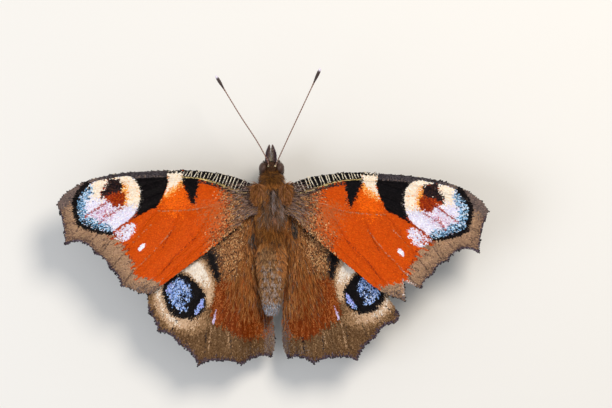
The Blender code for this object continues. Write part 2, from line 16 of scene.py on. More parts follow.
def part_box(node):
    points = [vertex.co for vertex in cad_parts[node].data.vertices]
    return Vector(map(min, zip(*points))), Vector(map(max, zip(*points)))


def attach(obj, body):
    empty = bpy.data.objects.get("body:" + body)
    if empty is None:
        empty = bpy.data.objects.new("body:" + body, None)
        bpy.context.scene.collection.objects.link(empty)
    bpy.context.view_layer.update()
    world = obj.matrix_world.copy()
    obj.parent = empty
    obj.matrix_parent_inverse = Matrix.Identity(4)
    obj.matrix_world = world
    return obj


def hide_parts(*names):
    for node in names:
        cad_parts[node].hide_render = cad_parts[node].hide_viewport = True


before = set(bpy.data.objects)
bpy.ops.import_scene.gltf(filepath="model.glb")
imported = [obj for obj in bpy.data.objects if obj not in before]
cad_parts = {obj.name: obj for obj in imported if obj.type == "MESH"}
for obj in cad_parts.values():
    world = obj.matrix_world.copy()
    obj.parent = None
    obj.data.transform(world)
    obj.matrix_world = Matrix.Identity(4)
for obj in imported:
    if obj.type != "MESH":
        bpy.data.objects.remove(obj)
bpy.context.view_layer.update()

# Body skin
# Head, collar, thorax and eight abdomen rings are one hard, thin case of brown chitin. It lies
# under the coat, inside the solids by the coat's depth, and carries the coat's own colours.
MM = 0.001
THORAX_FRONT = -4.5
thorax_low, thorax_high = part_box("thorax")
BODY_PLACE = np.array([
    (thorax_low[0] + thorax_high[0]) / 2,
    thorax_low[1] - THORAX_FRONT * MM,
    0.0,
])
# Stations of head and thorax: place along the body, height of the middle, half width, half height.
HEAD_AND_THORAX = [
    (-7.20, 5.90, 0.24, 0.30), (-7.02, 5.92, 0.55, 0.68), (-6.70, 5.96, 0.76, 0.94),
    (-6.30, 6.00, 0.82, 1.02), (-5.90, 6.05, 0.80, 0.96), (-5.60, 6.08, 0.84, 0.94),
    (-5.30, 6.10, 1.12, 1.12), (-4.90, 6.10, 1.38, 1.34), (-4.45, 6.08, 1.50, 1.50),
    (-4.00, 6.05, 1.60, 1.66), (-3.15, 6.08, 1.82, 2.02), (-2.00, 6.13, 1.94, 2.28),
    (-0.65, 6.18, 1.97, 2.36), (0.55, 6.23, 1.90, 2.30), (1.70, 6.28, 1.70, 2.08),
    (2.75, 6.32, 1.46, 1.72), (3.35, 6.34, 1.26, 1.40),
]
ABDOMEN_FRONT = 3.3
ABDOMEN_LENGTH = 10.2
ABDOMEN_HALF_WIDTH = 1.85
ABDOMEN_SEGMENTS = 8
ABDOMEN_COAT = 0.18
SEGMENT_SWELL = ((0.0, 0.93), (0.15, 0.98), (0.5, 1.0), (0.88, 1.01), (0.96, 0.98))
SKIN_SIDES = 40


def smooth_run(points, steps):
    """Points on the Catmull-Rom curve through the given points."""
    points = np.array(points, dtype=float)
    padded = np.vstack([2 * points[0] - points[1], points, 2 * points[-1] - points[-2]])
    t = np.linspace(0, 1, steps, endpoint=False)[:, None]
    found = []
    for before, start, end, after in zip(padded, padded[1:], padded[2:], padded[3:]):
        found.append(
            0.5 * (2 * start + (end - before) * t
                   + (2 * before - 5 * start + 4 * end - after) * t ** 2
                   + (3 * start - before - 3 * end + after) * t ** 3)
        )
    return np.vstack(found + [points[-1:]])


def smooth_step(value, low, high):
    t = np.clip((value - low) / (high - low), 0, 1)
    return t * t * (3 - 2 * t)


def ripple(points, length, seed):
    """A smooth random field of about -1 to 1, whose waves are about length across."""
    draw = np.random.default_rng(seed)
    total = np.zeros(len(points))
    for _ in range(6):
        ahead = draw.normal(size=points.shape[1])
        ahead /= np.linalg.norm(ahead) * length * draw.uniform(0.7, 1.6)
        total += np.sin(2 * math.pi * points @ ahead + draw.uniform(0, 2 * math.pi))
    return total / 2.6


def abdomen_stations():
    stations = []
    for segment in range(ABDOMEN_SEGMENTS):
        for within, swell in SEGMENT_SWELL:
            along = (segment + within) / ABDOMEN_SEGMENTS
            if along < 0.4:
                girth = 1 - 0.2 * (1 - along / 0.4) ** 2
            else:
                girth = math.sqrt(1 - ((along - 0.4) / 0.68) ** 2.2)
            wide = (girth * ABDOMEN_HALF_WIDTH - ABDOMEN_COAT) * swell
            stations.append((ABDOMEN_FRONT + along * ABDOMEN_LENGTH, 6.35 - 0.75 * along, wide, 0.92 * wide))
    return stations[3:] + [(13.4, 5.6, 0.4, 0.38), (13.5, 5.6, 0.2, 0.2)]


BODY_PROFILE = np.vstack([smooth_run(HEAD_AND_THORAX, 4), abdomen_stations()])


def body_point(y, angle):
    """A point of the skin: the angle is 0 at the left flank and a quarter turn at the back."""
    middle, wide, high = (np.interp(y, BODY_PROFILE[:, 0], BODY_PROFILE[:, i]) for i in (1, 2, 3))
    return np.stack([wide * np.cos(angle), y, middle + high * np.sin(angle)], axis=-1)


def linear(code):
    """The linear colour of an sRGB hex value such as #c08040."""
    values = np.array([int(code[i:i + 2], 16) for i in (1, 3, 5)]) / 255
    return np.where(values <= 0.04045, values / 12.92, ((values + 0.055) / 1.055) ** 2.4)


def palette(**shares):
    """Tones such as c08040=3, each with its share of the hairs or scales."""
    codes = ["#" + code.strip("_") for code in shares]
    weights = np.array(list(shares.values()), dtype=float)
    return np.array([linear(code) for code in codes]), weights / weights.sum()


class Markings:
    """Colours of points, with one marking laid over another, hair by hair or scale by scale.

    Each point draws its tone from the palette. Without a draw, it takes the palette's mean.
    """

    def __init__(self, count, tones, draw):
        self.colours = np.zeros((count, 3))
        self.draw = draw
        self.lay(np.ones(count), tones)

    def lay(self, share, tones):
        """Covers this share of the points round each place with a palette."""
        kinds, weights = tones
        share = np.clip(share, 0, 1)
        if self.draw is None:
            self.colours = self.colours + (weights @ kinds - self.colours) * share[:, None]
            return self
        taken = self.draw.random(len(share)) < share
        picked = kinds[self.draw.choice(len(kinds), size=len(share), p=weights)]
        self.colours = np.where(taken[:, None], picked, self.colours)
        return self


COLLAR_GOLD = palette(_5e3a14=4, _4a2c0e=4, _744a1c=3, _34200c=2)
THORAX_GOLD = palette(_7c4a1e=4, _663c16=4, _925e2c=3, _ae7a40=1, _482e12=2)
THORAX_GREY = palette(_6c523e=4, _5a4636=3, _806a5c=3, _463830=2)
THORAX_DARK = palette(_33261e=4, _261c16=3, _48382a=2)
THORAX_PALE = palette(_8a7a78=3, _9a8c88=2, _76665e=3)
CHEEK_GREY = palette(_5c4c48=3, _76665e=2, _463a38=3)
THORAX_PINK = palette(_b0785a=3, _9c684c=2)
FOX_HAIR = palette(_9c5c28=3, _864a1e=3, _b27438=2)
ABDOMEN_BROWN = palette(_72502f=4, _5c3e26=4, _886240=3, _9c7a50=1)
ABDOMEN_RUST = palette(_8c5628=4, _9c6636=3, _70421e=3)
ABDOMEN_GREY = palette(_7c6656=4, _8e7e74=3, _6a5444=4, _9a9090=1)
ABDOMEN_BLUE = palette(_7c8490=3, _686f7c=3, _8e9096=2, _6a5c50=3)
UNDER_BODY = palette(_2a221c=4, _1e1814=3, _3c3026=2)
HEAD_BROWN = palette(_40291a=4, _2e1c12=4, _583c24=2)
# Each stripe of the back: its place across, where it starts and ends, and its tones.
BACK_STRIPES = [
    (0.95, -3.5, -0.9, THORAX_DARK), (0.06, -3.7, -0.6, THORAX_DARK),
    (-0.48, -3.6, -1.6, THORAX_DARK), (-1.5, -2.4, 0.4, THORAX_DARK), (-0.2, -3.4, -1.0, THORAX_PALE),
    (-1.05, -2.5, -0.4, THORAX_PALE), (0.5, -3.3, -1.4, THORAX_GOLD), (-1.8, 0.2, 3.2, FOX_HAIR),
    (-0.3, -1.0, -0.5, THORAX_DARK), (0.0, 3.4, 4.1, THORAX_DARK), (-0.92, 3.4, 4.1, THORAX_DARK),
]


def body_colour(points, draw):
    x, y, z = points.T
    middle, high = (np.interp(y, BODY_PROFILE[:, 0], BODY_PROFILE[:, i]) for i in (1, 3))
    up = (z - middle) / high
    rough = ripple(points, 1.2, 51) * 0.3
    marks = Markings(len(points), THORAX_GOLD, draw)
    grey = smooth_step(np.abs(x + 0.25) + rough, 1.75, 0.9)
    grey = grey * smooth_step(y, -3.9, -3.2) * smooth_step(y, 1.6, 0.2)
    marks.lay(grey * 0.8, THORAX_GREY)
    for place, start, end, tones in BACK_STRIPES:
        beyond = np.maximum(np.maximum(start - y, y - end), 0)
        stripe = smooth_step(np.hypot(x - place + rough * 0.2, beyond * 0.7), 0.2, 0.08) * (up > 0)
        marks.lay(stripe * 0.75, tones)
    pink = smooth_step(np.hypot((x + 0.4) * 1.5, (y - 0.1) * 0.8), 0.5, 0.2)
    marks.lay(pink * 0.6, THORAX_PINK)
    dim = smooth_step(ripple(points, 1.0, 54), 0.5, 1.1) * smooth_step(y, 0.8, 1.6) * smooth_step(y, 3.6, 3.0)
    marks.lay(dim * 0.6, THORAX_DARK)
    marks.lay(smooth_step(y, -4.3, -4.7), COLLAR_GOLD)
    cheek = smooth_step(np.abs(x) - 0.5 * (y + 5.2), 0.8, 1.2) * smooth_step(y, -4.2, -4.6)
    marks.lay(cheek * 0.6, CHEEK_GREY)
    marks.lay(smooth_step(y, -5.6, -5.85), HEAD_BROWN)

    # Abdomen: blotched, with a dark seam at each ring
    behind = smooth_step(y + rough, 3.4, 4.4)
    marks.lay(behind, ABDOMEN_BROWN)
    marks.lay(behind * smooth_step(rough - x, 0.2, 0.9) * smooth_step(y, 9.0, 7.0) * 0.8, ABDOMEN_RUST)
    blotch = smooth_step(ripple(points, 0.8, 52) + 0.12 * (y - 7), -0.2, 0.6) * smooth_step(up, 0.4, 0.8)
    marks.lay(blotch * smooth_step(y, 5.0, 7.5) * 0.8, ABDOMEN_GREY)
    side_brown = smooth_step(up, 0.75, 0.45) * smooth_step(y, 10.5, 8.5)
    marks.lay(behind * side_brown * 0.6, ABDOMEN_RUST)
    within = (y - ABDOMEN_FRONT) / ABDOMEN_LENGTH * ABDOMEN_SEGMENTS % 1
    seam = smooth_step(np.abs(within - 0.5), 0.36, 0.46) * smooth_step(ripple(points, 0.7, 53), -0.8, 0.4)
    marks.lay(behind * seam * 0.5, THORAX_DARK)
    marks.lay(smooth_step(y, 11.0, 12.6) * 0.75, ABDOMEN_BLUE)
    return marks.lay(smooth_step(up, -0.15, -0.6), UNDER_BODY).colours


def add(tree, kind, inputs=None, **settings):
    """Adds a node. An input is given a value, or the output that it is linked from."""
    node = tree.nodes.new(kind)
    for name, value in settings.items():
        setattr(node, name, value)
    for key, value in (inputs or {}).items():
        if isinstance(value, bpy.types.NodeSocket):
            tree.links.new(value, node.inputs[key])
        else:
            node.inputs[key].default_value = value
    return node


def new_material(name):
    """A material with a bare node tree and its output."""
    material = bpy.data.materials.new(name)
    material.use_nodes = True
    material.node_tree.nodes.clear()
    output = add(material.node_tree, "ShaderNodeOutputMaterial")
    return material, material.node_tree, output.inputs["Surface"]


def painted_material(name, roughness, grain_size, bump_height, shade=0.3, specular=0.4, **more):
    """A surface in the markings' colours, mottled and roughened by a grain of the given size."""
    material, tree, surface = new_material(name)
    tone = add(tree, "ShaderNodeAttribute", attribute_name="markings")
    place = add(tree, "ShaderNodeTexCoord")
    grain = add(tree, "ShaderNodeTexNoise", {
        "Vector": place.outputs["Object"], "Scale": 1 / (grain_size * MM), "Detail": 3.0,
    })
    level = add(tree, "ShaderNodeMapRange", {
        "Value": grain.outputs["Fac"], "From Min": 0.3, "From Max": 0.7,
        "To Min": 1 - shade, "To Max": 1 + shade,
    })
    toned = add(tree, "ShaderNodeVectorMath", {0: tone.outputs["Color"]}, operation="SCALE")
    tree.links.new(level.outputs["Result"], toned.inputs["Scale"])
    bump = add(tree, "ShaderNodeBump", {
        "Strength": 0.6, "Distance": bump_height * MM, "Height": grain.outputs["Fac"],
    })
    skin = add(tree, "ShaderNodeBsdfPrincipled", {
        "Base Color": toned.outputs[0], "Roughness": roughness, "IOR": 1.56, "Specular IOR Level": specular,
        "Normal": bump.outputs["Normal"], **more,
    })
    tree.links.new(skin.outputs[0], surface)
    return material


def with_alpha(colours):
    return np.concatenate([colours, np.ones((len(colours), 1))], axis=1).astype(np.float32)


def new_piece(name, points, faces, material, colours=None, smooth=True):
    """A mesh object at the origin, from points in millimetres about the body, facing outwards."""
    mesh = bpy.data.meshes.new(name)
    mesh.from_pydata((np.asarray(points) * MM + BODY_PLACE).tolist(), [], faces)
    if colours is not None:
        layer = mesh.color_attributes.new("markings", "FLOAT_COLOR", "POINT")
        layer.data.foreach_set("color", with_alpha(colours).ravel())
    shell = bmesh.new()
    shell.from_mesh(mesh)
    bmesh.ops.recalc_face_normals(shell, faces=shell.faces)
    shell.to_mesh(mesh)
    shell.free()
    mesh.polygons.foreach_set("use_smooth", [smooth] * len(mesh.polygons))
    mesh.materials.append(material)
    mesh.update()
    piece = bpy.data.objects.new(name, mesh)
    bpy.context.scene.collection.objects.link(piece)
    return piece


def loft(rings):
    """A closed shell over rings of points, with a pole at each end."""
    count, sides, _ = rings.shape
    points = np.vstack([rings.reshape(-1, 3), rings[0].mean(0), rings[-1].mean(0)])
    first, last = count * sides, count * sides + 1
    faces = []
    for side in range(sides):
        after = (side + 1) % sides
        for ring in range(count - 1):
            a, b = ring * sides + side, ring * sides + after
            faces.append((a, b, b + sides, a + sides))
        end = (count - 1) * sides
        faces.append((after, side, first))
        faces.append((end + side, end + after, last))
    return points, faces


turn = np.linspace(0, 2 * math.pi, SKIN_SIDES, endpoint=False)
skin_rings = [body_point(np.full(SKIN_SIDES, y), turn) for y in BODY_PROFILE[:, 0]]
skin_points, skin_faces = loft(np.array(skin_rings))
# Hard brown chitin, which shines a little where the coat is thin.
body_chitin = painted_material("body_chitin", 0.45, 0.08, 0.01)
body_skin = new_piece("body_skin", skin_points, skin_faces, body_chitin, body_colour(skin_points, None) * 0.6)
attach(body_skin, "root")
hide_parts("head", "prothorax", "thorax", "abdomen")


# Eyes
# Each eye is a half ball of some thousands of hexagonal lenses, dark brown and glossy, between
# which short bristles stand. It bulges from the side of the head.
EYE_CENTRE = (1.12, -6.35, 6.0)
EYE_RADII = (0.62, 0.8, 1.0)
EYE_ROWS = 28
EYE_SIDES = 44
FACET_SIZE = 0.05


def ball(centre, radii, rows, sides):
    tilt = np.linspace(0, math.pi, rows + 2)[1:-1, None]
    about = np.linspace(0, 2 * math.pi, sides, endpoint=False)[None]
    across = np.cos(tilt) + 0 * about
    unit = np.stack([across, np.sin(tilt) * np.cos(about), np.sin(tilt) * np.sin(about)], axis=2)
    points, faces = loft(unit * radii + centre)
    points[-2] = np.array(centre) + (radii[0], 0, 0)
    points[-1] = np.array(centre) - (radii[0], 0, 0)
    return points, faces


# Facets are drawn at about twice their real 0.025 mm, so that they still show as a fine grain.
eye_lens, eye_tree, eye_surface = new_material("eye_lens_chitin")
eye_place = add(eye_tree, "ShaderNodeTexCoord")
facets = add(eye_tree, "ShaderNodeTexVoronoi", {
    "Vector": eye_place.outputs["Object"], "Scale": 1 / (FACET_SIZE * MM), "Randomness": 0.35,
}, feature="F1")
# Each facet is painted paler in its middle and darker at its seams: a painted highlight on the lens's bulge
# and painted shade in the creases between lenses, over the eye's dark brown.
eye_facet_light_and_shade = add(eye_tree, "ShaderNodeValToRGB", {"Fac": facets.outputs["Distance"]})
eye_facet_light_and_shade.color_ramp.elements[0].color = (*linear("#5a4034"), 1)
eye_facet_light_and_shade.color_ramp.elements[1].color = (*linear("#20130f"), 1)
eye_bump = add(eye_tree, "ShaderNodeBump", {
    "Strength": 0.8, "Distance": 0.00001, "Height": facets.outputs["Distance"],
}, invert=True)
eye_shell = add(eye_tree, "ShaderNodeBsdfPrincipled", {
    "Base Color": eye_facet_light_and_shade.outputs["Color"], "Roughness": 0.42, "IOR": 1.5, "Specular IOR Level": 0.28,
    "Normal": eye_bump.outputs["Normal"],
})
eye_tree.links.new(eye_shell.outputs[0], eye_surface)
for side, across in (("L", 1), ("R", -1)):
    centre = np.array(EYE_CENTRE) * (across, 1, 1)
    eye_points, eye_faces = ball(centre, np.array(EYE_RADII) * 0.97, EYE_ROWS, EYE_SIDES)
    eye = new_piece(f"faceted_eye_{side}", eye_points, eye_faces, eye_lens)
    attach(eye, "root")
    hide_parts(f"eye_{side}")


# Antennae
# A stalk of some forty short tubes, dark with a white ring at the foot of each, that thickens
# to a black club with a pale tip. It springs from the top of the head, beside the eye.
ANTENNA_ROUTE = {
    "L": [
        (0.42, -6.55, 6.8), (0.56, -7.4, 7.3), (1.98, -10.0, 8.1), (4.02, -13.1, 8.85),
        (5.8, -16.0, 9.35), (7.5, -18.8, 9.6),
    ],
    "R": [(0.47, -6.55, 6.8), (2.0, -9.9, 8.1), (3.55, -13.2, 9.0), (5.1, -16.5, 9.55), (6.62, -19.76, 9.9)],
}
ANTENNA_RINGS = 40
SHAFT_RADIUS = 0.07
CLUB_START = 0.86
TUBE_SIDES = 12


def tube_frames(path):
    """At each point of a path, its direction and two directions across it that don't twist."""
    ahead = np.gradient(path, axis=0)
    ahead /= np.linalg.norm(ahead, axis=1)[:, None]
    beside = np.cross(ahead[0], (0.0, 0.0, 1.0))
    frames = []
    for direction in ahead:
        beside = beside - direction * (beside @ direction)
        beside = beside / np.linalg.norm(beside)
        frames.append((direction, beside, np.cross(beside, direction)))
    return np.array(frames)


def tube(path, radii, sides=TUBE_SIDES, flatten=1.0):
    """Rings of points round a path; flatten is the depth of a ring over its width."""
    frames = tube_frames(path)
    about = np.linspace(0, 2 * math.pi, sides, endpoint=False)
    wide = frames[:, None, 1] * np.cos(about)[None, :, None]
    deep = frames[:, None, 2] * np.sin(about)[None, :, None] * flatten
    return path[:, None] + (wide + deep) * np.asarray(radii)[:, None, None]


def antenna_path(side, across, share):
    """Points at these shares of the stalk's length."""
    route = smooth_run(ANTENNA_ROUTE[side], 12) * (across, 1, 1)
    steps = np.linalg.norm(np.diff(route, axis=0), axis=1)
    along = np.concatenate([[0], np.cumsum(steps)]) / steps.sum()
    return np.stack([np.interp(share, along, route[:, i]) for i in range(3)], axis=1)


# Dry dark chitin under a bloom of minute scales, with a low shine.
antenna_chitin = painted_material("antenna_chitin", 0.5, 0.04, 0.005)
FEELER_DARK, FEELER_WHITE, FEELER_CLUB, FEELER_TIP = map(linear, ("#6a3f2c", "#b09a8c", "#32201a", "#e0d8e8"))
for side, across in (("L", 1), ("R", -1)):
    share, within = [], []
    for ring in range(ANTENNA_RINGS):
        for part in (0.0, 0.12, 0.3, 0.75, 0.95):
            share.append((ring + part) / ANTENNA_RINGS)
            within.append(part)
    share, within = np.array(share + [1.0]), np.array(within + [1.0])
    swell = np.interp(share, [0, 0.012, 0.03, CLUB_START - 0.06, CLUB_START, 0.92, 0.96, 0.985, 1.0],
                      [1.6, 1.6, 1.0, 1.0, 1.4, 2.8, 2.95, 2.4, 1.1]) * SHAFT_RADIUS
    swell *= 1 + 0.13 * np.sin(math.pi * within)
    rings = tube(antenna_path(side, across, share), swell)
    points, faces = loft(rings)
    pale = (within < 0.14) & (share < CLUB_START)
    tones = np.where(pale[:, None], FEELER_WHITE, FEELER_DARK)
    tones = np.where((share < 0.016)[:, None], linear("#f2e2b4"), tones)
    club = smooth_step(share, CLUB_START - 0.03, CLUB_START + 0.02)[:, None]
    tones = tones * (1 - club) + FEELER_CLUB * club
    tip = smooth_step(share, 0.965, 0.985)[:, None]
    tones = tones * (1 - tip) + FEELER_TIP * tip
    tones = np.vstack([tones.repeat(TUBE_SIDES, axis=0), tones[:1], tones[-1:]])
    antenna = new_piece(f"ringed_antenna_{side}", points, faces, antenna_chitin, tones)
    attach(antenna, "root")
    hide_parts(f"antenna_{side}")


# Palps
# Two scaly feelers of three joints stand side by side before the face like a short beak. They
# are jointed to the mouth's underside, and their coat is combed forwards to a point.
PALP_PATH = [(0.37, -6.6, 5.0), (0.38, -7.4, 5.2), (0.36, -8.3, 5.9), (0.22, -9.4, 6.9)]
PALP_SHIFT = 0.09
PALP_FLATNESS = 0.5
PALP_RADII = [0.2, 0.24, 0.29, 0.31, 0.31, 0.29, 0.25, 0.19, 0.12, 0.04]
PALP_DARK = palette(_43343a=4, _5c4850=3, _30262a=3)
PALP_PALE = palette(_a89c7c=4, _c0b494=2, _a49cb4=2, _84785c=2)
PALP_BROWN = palette(_6c5850=4, _5a4844=3, _84706a=2)


def palp_run(across, steps):
    path = smooth_run(PALP_PATH, steps) * (across, 1, 1) + (PALP_SHIFT, 0, 0)
    radii = np.interp(np.linspace(0, 9, len(path)), range(10), PALP_RADII)
    return path, radii


def palp_colour(points, draw):
    """Dark along its outer edge, pale along the inner one, as seen from above."""
    out = np.abs(points[:, 0] - PALP_SHIFT)
    centre = np.interp(points[:, 1], [-9.4, -8.3, -7.4, -6.6], [0.22, 0.36, 0.38, 0.37])
    marks = Markings(len(points), PALP_BROWN, draw)
    marks.lay(smooth_step(out - centre, 0.0, 0.16), PALP_DARK)
    return marks.lay(smooth_step(centre - out, 0.08, 0.24) * 0.85, PALP_PALE).colours


for side, across in (("L", 1), ("R", -1)):
    path, radii = palp_run(across, 5)
    points, faces = loft(tube(path, radii, flatten=PALP_FLATNESS))
    palp = new_piece(f"palp_skin_{side}", points, faces, body_chitin, palp_colour(points, None) * 0.7)
    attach(palp, "root")
    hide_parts(f"palp_{side}")


# Tongue
# The tongue is two grooved half tubes locked side by side, ringed like a hose, which the
# butterfly keeps coiled like a watch spring under its face.
COIL_MIDDLE = (-7.15, 3.35)
COIL_OUTER = 1.05
COIL_PITCH = 0.78
COIL_TURNS = 1.35
COIL_STEPS = 220
TONGUE_RADIUS = 0.19
turn = np.linspace(0, COIL_TURNS, COIL_STEPS)
radius = COIL_OUTER - COIL_PITCH * turn
angle = math.radians(15) - 2 * math.pi * turn
coil = np.stack([
    0 * turn,
    COIL_MIDDLE[0] + radius * np.cos(angle),
    COIL_MIDDLE[1] + radius * np.sin(angle),
], axis=1)
stem = smooth_run([(0, -6.3, 5.3), (0, -6.2, 4.9), (0, -6.13, 4.3), tuple(coil[0])], 8)[:-1]
tongue_path = np.vstack([stem, coil])
ringing = 1 + 0.09 * np.cos(np.arange(len(tongue_path)) * 2 * math.pi / 4)
taper = np.linspace(1.0, 0.55, len(tongue_path))
tongue_rings = tube(tongue_path, TONGUE_RADIUS * ringing * taper)
groove = 1 - 0.22 * np.abs(np.cos(np.linspace(0, 2 * math.pi, TUBE_SIDES, endpoint=False) + math.pi / 2)) ** 6
tongue_rings = tongue_path[:, None] + (tongue_rings - tongue_path[:, None]) * groove[None, :, None]
points, faces = loft(tongue_rings)
tones = np.tile(linear("#5a3820"), (len(points), 1)) * (0.8 + 0.3 * ripple(points, 0.8, 61))[:, None]
# Amber-brown chitin, smooth between its rings, so it shines more than the coat does.
tongue_chitin = painted_material("tongue_chitin", 0.35, 0.05, 0.004)
tongue = new_piece("coiled_tongue", points, faces, tongue_chitin, tones)
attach(tongue, "root")
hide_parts("proboscis")


# Legs
# A leg is a chain of hard tubes: hip, thigh, shin with two spurs, and a foot of five joints and
# two claws, which lies flat. The two forelegs are small brushes, folded under the chest.
LEG_ROUTES = {
    "midleg": [(0.9, -1.7, 4.6), (1.5, -1.9, 3.1), (4.5, -2.7, 4.5), (6.6, -3.3, 0.5), (8.9, -4.7, -0.3)],
    "hindleg": [(0.9, 1.3, 4.6), (1.5, 1.9, 3.0), (4.2, 4.2, 4.2), (5.8, 8.0, 0.5), (6.9, 10.6, -0.3)],
}
FORELEG_PATH = [(0.75, -4.7, 4.3), (1.15, -4.9, 3.5), (1.3, -5.6, 3.2), (1.2, -6.4, 3.4), (1.0, -7.1, 3.8)]
FORELEG_RADII = [0.3, 0.27, 0.22, 0.24, 0.26, 0.26, 0.24, 0.16, 0.06]
SOLE_HEIGHT = 0.21
LEG_STEPS = 9
FOOT_JOINTS = 5
LEG_TONE = palette(_4a3a2c=4, _5c4936=3, _382a20=3)
FOOT_TONE = palette(_7a6146=4, _6a5238=3, _8c7354=2)


def join(parts):
    """Several shells as one list of points and one of faces."""
    points, faces, first = [], [], 0
    for some_points, some_faces in parts:
        points.append(some_points)
        faces.extend(tuple(corner + first for corner in face) for face in some_faces)
        first += len(some_points)
    return np.vstack(points), faces


def walking_leg(route, across):
    """Its shells, and the runs along which the coat grows."""
    hip, thigh, knee, ankle, toe = (np.array(p) * (across, 1, 1) for p in route)
    share = np.linspace(0, 1, LEG_STEPS)[:, None]
    shells, runs = [], []
    for start, end, thick in (
        (hip, thigh, (0.30, 0.44, 0.38, 0.22)), (thigh, knee, (0.20, 0.33, 0.31, 0.17)),
        (knee, ankle, (0.16, 0.25, 0.22, 0.17)),
    ):
        path = start + (end - start) * share
        radii = np.interp(share[:, 0], np.linspace(0, 1, len(thick)), thick)
        shells.append(loft(tube(path, radii)))
        runs.append((path, radii))
    for joint in range(FOOT_JOINTS):
        path = ankle + (toe - ankle) * (joint + 0.96 * share) / FOOT_JOINTS
        path[:, 2] = np.maximum(path[:, 2], SOLE_HEIGHT)
        radii = np.interp(share[:, 0], [0, 0.15, 0.8, 1], [0.1, 0.15, 0.19, 0.12])
        shells.append(loft(tube(path, radii)))
        runs.append((path, radii))
    down = (ankle - knee) / np.linalg.norm(ankle - knee)
    along = (toe - ankle) * (1, 1, 0) / np.linalg.norm((toe - ankle)[:2])
    beside = np.cross(along, (0, 0, 1))
    for way in (-1, 1):
        spur = ankle + (down * 0.6 + beside * way * 0.35 + along * 0.3) * share
        spur[:, 2] = np.maximum(spur[:, 2], 0.06)
        shells.append(loft(tube(spur, 0.06 * (1 - 0.85 * share[:, 0]), 6)))
        sole = np.array([toe[0], toe[1], SOLE_HEIGHT])
        claw = sole - along * 0.05 + (along * 0.34 + beside * way * 0.14) * share
        claw[:, 2] += 0.05 * np.sin(math.pi * share[:, 0]) - 0.12 * share[:, 0] ** 2
        claw[:, 2] = np.maximum(claw[:, 2], 0.07)
        shells.append(loft(tube(claw, 0.055 * (1 - 0.85 * share[:, 0]), 6)))
    return shells, runs


def leg_colour(points, draw):
    foot = smooth_step(points[:, 2], 1.2, 0.4)
    return Markings(len(points), LEG_TONE, draw).lay(foot * 0.9, FOOT_TONE).colours


# Hard chitin with a low shine, brown-grey on thigh and shin and horn-coloured on the foot.
leg_chitin = painted_material("leg_chitin", 0.42, 0.05, 0.006)
COAT_RUNS = []
for side, across in (("L", 1), ("R", -1)):
    for name, route in LEG_ROUTES.items():
        shells, runs = walking_leg(route, across)
        COAT_RUNS.extend(runs)
        points, faces = join(shells)
        leg = new_piece(f"jointed_{name}_{side}", points, faces, leg_chitin, leg_colour(points, None))
        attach(leg, "root")
        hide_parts(f"{name}_{side}")
    path = smooth_run(FORELEG_PATH, 4) * (across, 1, 1)
    radii = np.interp(np.linspace(0, 8, len(path)), range(9), FORELEG_RADII)
    COAT_RUNS.append((path, radii))
    points, faces = loft(tube(path, radii))
    tones = Markings(len(points), LEG_TONE, None).colours
    foreleg = new_piece(f"brush_foreleg_{side}", points, faces, leg_chitin, tones)
    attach(foreleg, "root")
    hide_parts(f"foreleg_{side}")


# Tegulae
# A tegula is a small domed flap, hinged to the thorax so that it covers the root of the
# forewing. Under its coat it is a thin shell of the body's own chitin.
TEGULA_CENTRE = (1.95, -3.1, 8.35)
TEGULA_RADII = (0.5, 1.12, 0.38)
for side, across in (("L", 1), ("R", -1)):
    points, faces = ball(np.array(TEGULA_CENTRE) * (across, 1, 1), np.array(TEGULA_RADII), 16, 24)
    tones = Markings(len(points), THORAX_GOLD, None).colours * 0.6
    tegula = new_piece(f"tegula_shell_{side}", points, faces, body_chitin, tones)
    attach(tegula, "root")
    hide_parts(f"tegula_{side}")


# Plan of the wings
# A butterfly's wing is a dry double membrane stretched over hollow veins. The margin hangs in
# shallow scallops between the veins' ends, and the right forewing has lost a chip of it.
FOREWING_PIVOT = np.array([2.5, -4.1])
FOREWING_SWEEP = {"L": 0.0, "R": 2.0}
FOREWING_STRETCH = {"L": 1.0, "R": 1.018}
FOREWING_LEADING = [
    (1.1, -3.7), (2.5, -4.15), (5.3, -5.2), (10.0, -5.93), (14.8, -5.95),
    (20.0, -5.62), (24.3, -4.75), (27.4, -3.1),
]
FOREWING_TEETH = {
    "radius_5": (28.8, -1.5),
    "media_1": (27.75, 4.0),
    "media_2": (23.6, 5.2),
    "media_3": (21.7, 7.15),
    "cubitus_1": (20.2, 9.5),
    "cubitus_2": (18.2, 11.0),
    "anal": (16.3, 10.65),
}
FOREWING_SCALLOPS = [0.32, 1.05, 0.42, 0.42, 0.16, 0.1]
FOREWING_TRAILING = [(14.3, 9.1), (10.2, 6.0), (8.1, 4.45), (4.6, 1.6), (2.9, 0.0), (1.1, -0.4)]
FOREWING_WEAR = {
    "L": {"cubitus_2": (-0.35, -0.65)},
    "R": {"cubitus_1": (0.1, -0.5), "cubitus_2": (-0.05, -0.25), "anal": (0.0, -0.55)},
}
CHIP_SIDE = "R"
CHIP_AFTER = "cubitus_1"
CHIP_CORNER = (17.9, 8.0)
FOREWING_VEINS = [
    [(3.0, -3.2), (7.0, -4.4), (12.0, -4.95), (17.5, -4.85), (22.5, -3.95), (27.2, -2.3)],
    [(14.2, -4.9), (19.5, -3.1), (24.4, -0.4), (27.7, 1.2)],
    [(14.4, -3.2), (20.8, -0.8), (23.3, 1.1), "media_1"],
    [(14.8, -1.9), (18.5, 0.3), (21.0, 2.2), "media_2"],
    [(14.0, -4.9), (14.4, -3.2), (14.8, -1.9), (15.1, -0.6)],
    [(2.9, -2.6), (5.3, -1.9), (10.0, -0.8), (15.1, -0.6), (18.3, 3.2), "media_3"],
    [(12.3, -0.75), (13.7, 2.6), (16.8, 5.8), "cubitus_1"],
    [(7.6, -1.35), (10.9, 3.9), (13.3, 6.1), "cubitus_2"],
    [(3.0, -1.1), (7.0, 1.9), (12.0, 6.3), "anal"],
]
HINDWING_PIVOT = np.array([2.6, 0.0])
HINDWING_SWEEP = {"L": -2.4, "R": 2.4}
HINDWING_TUCK = {"L": 0.0, "R": 1.6}
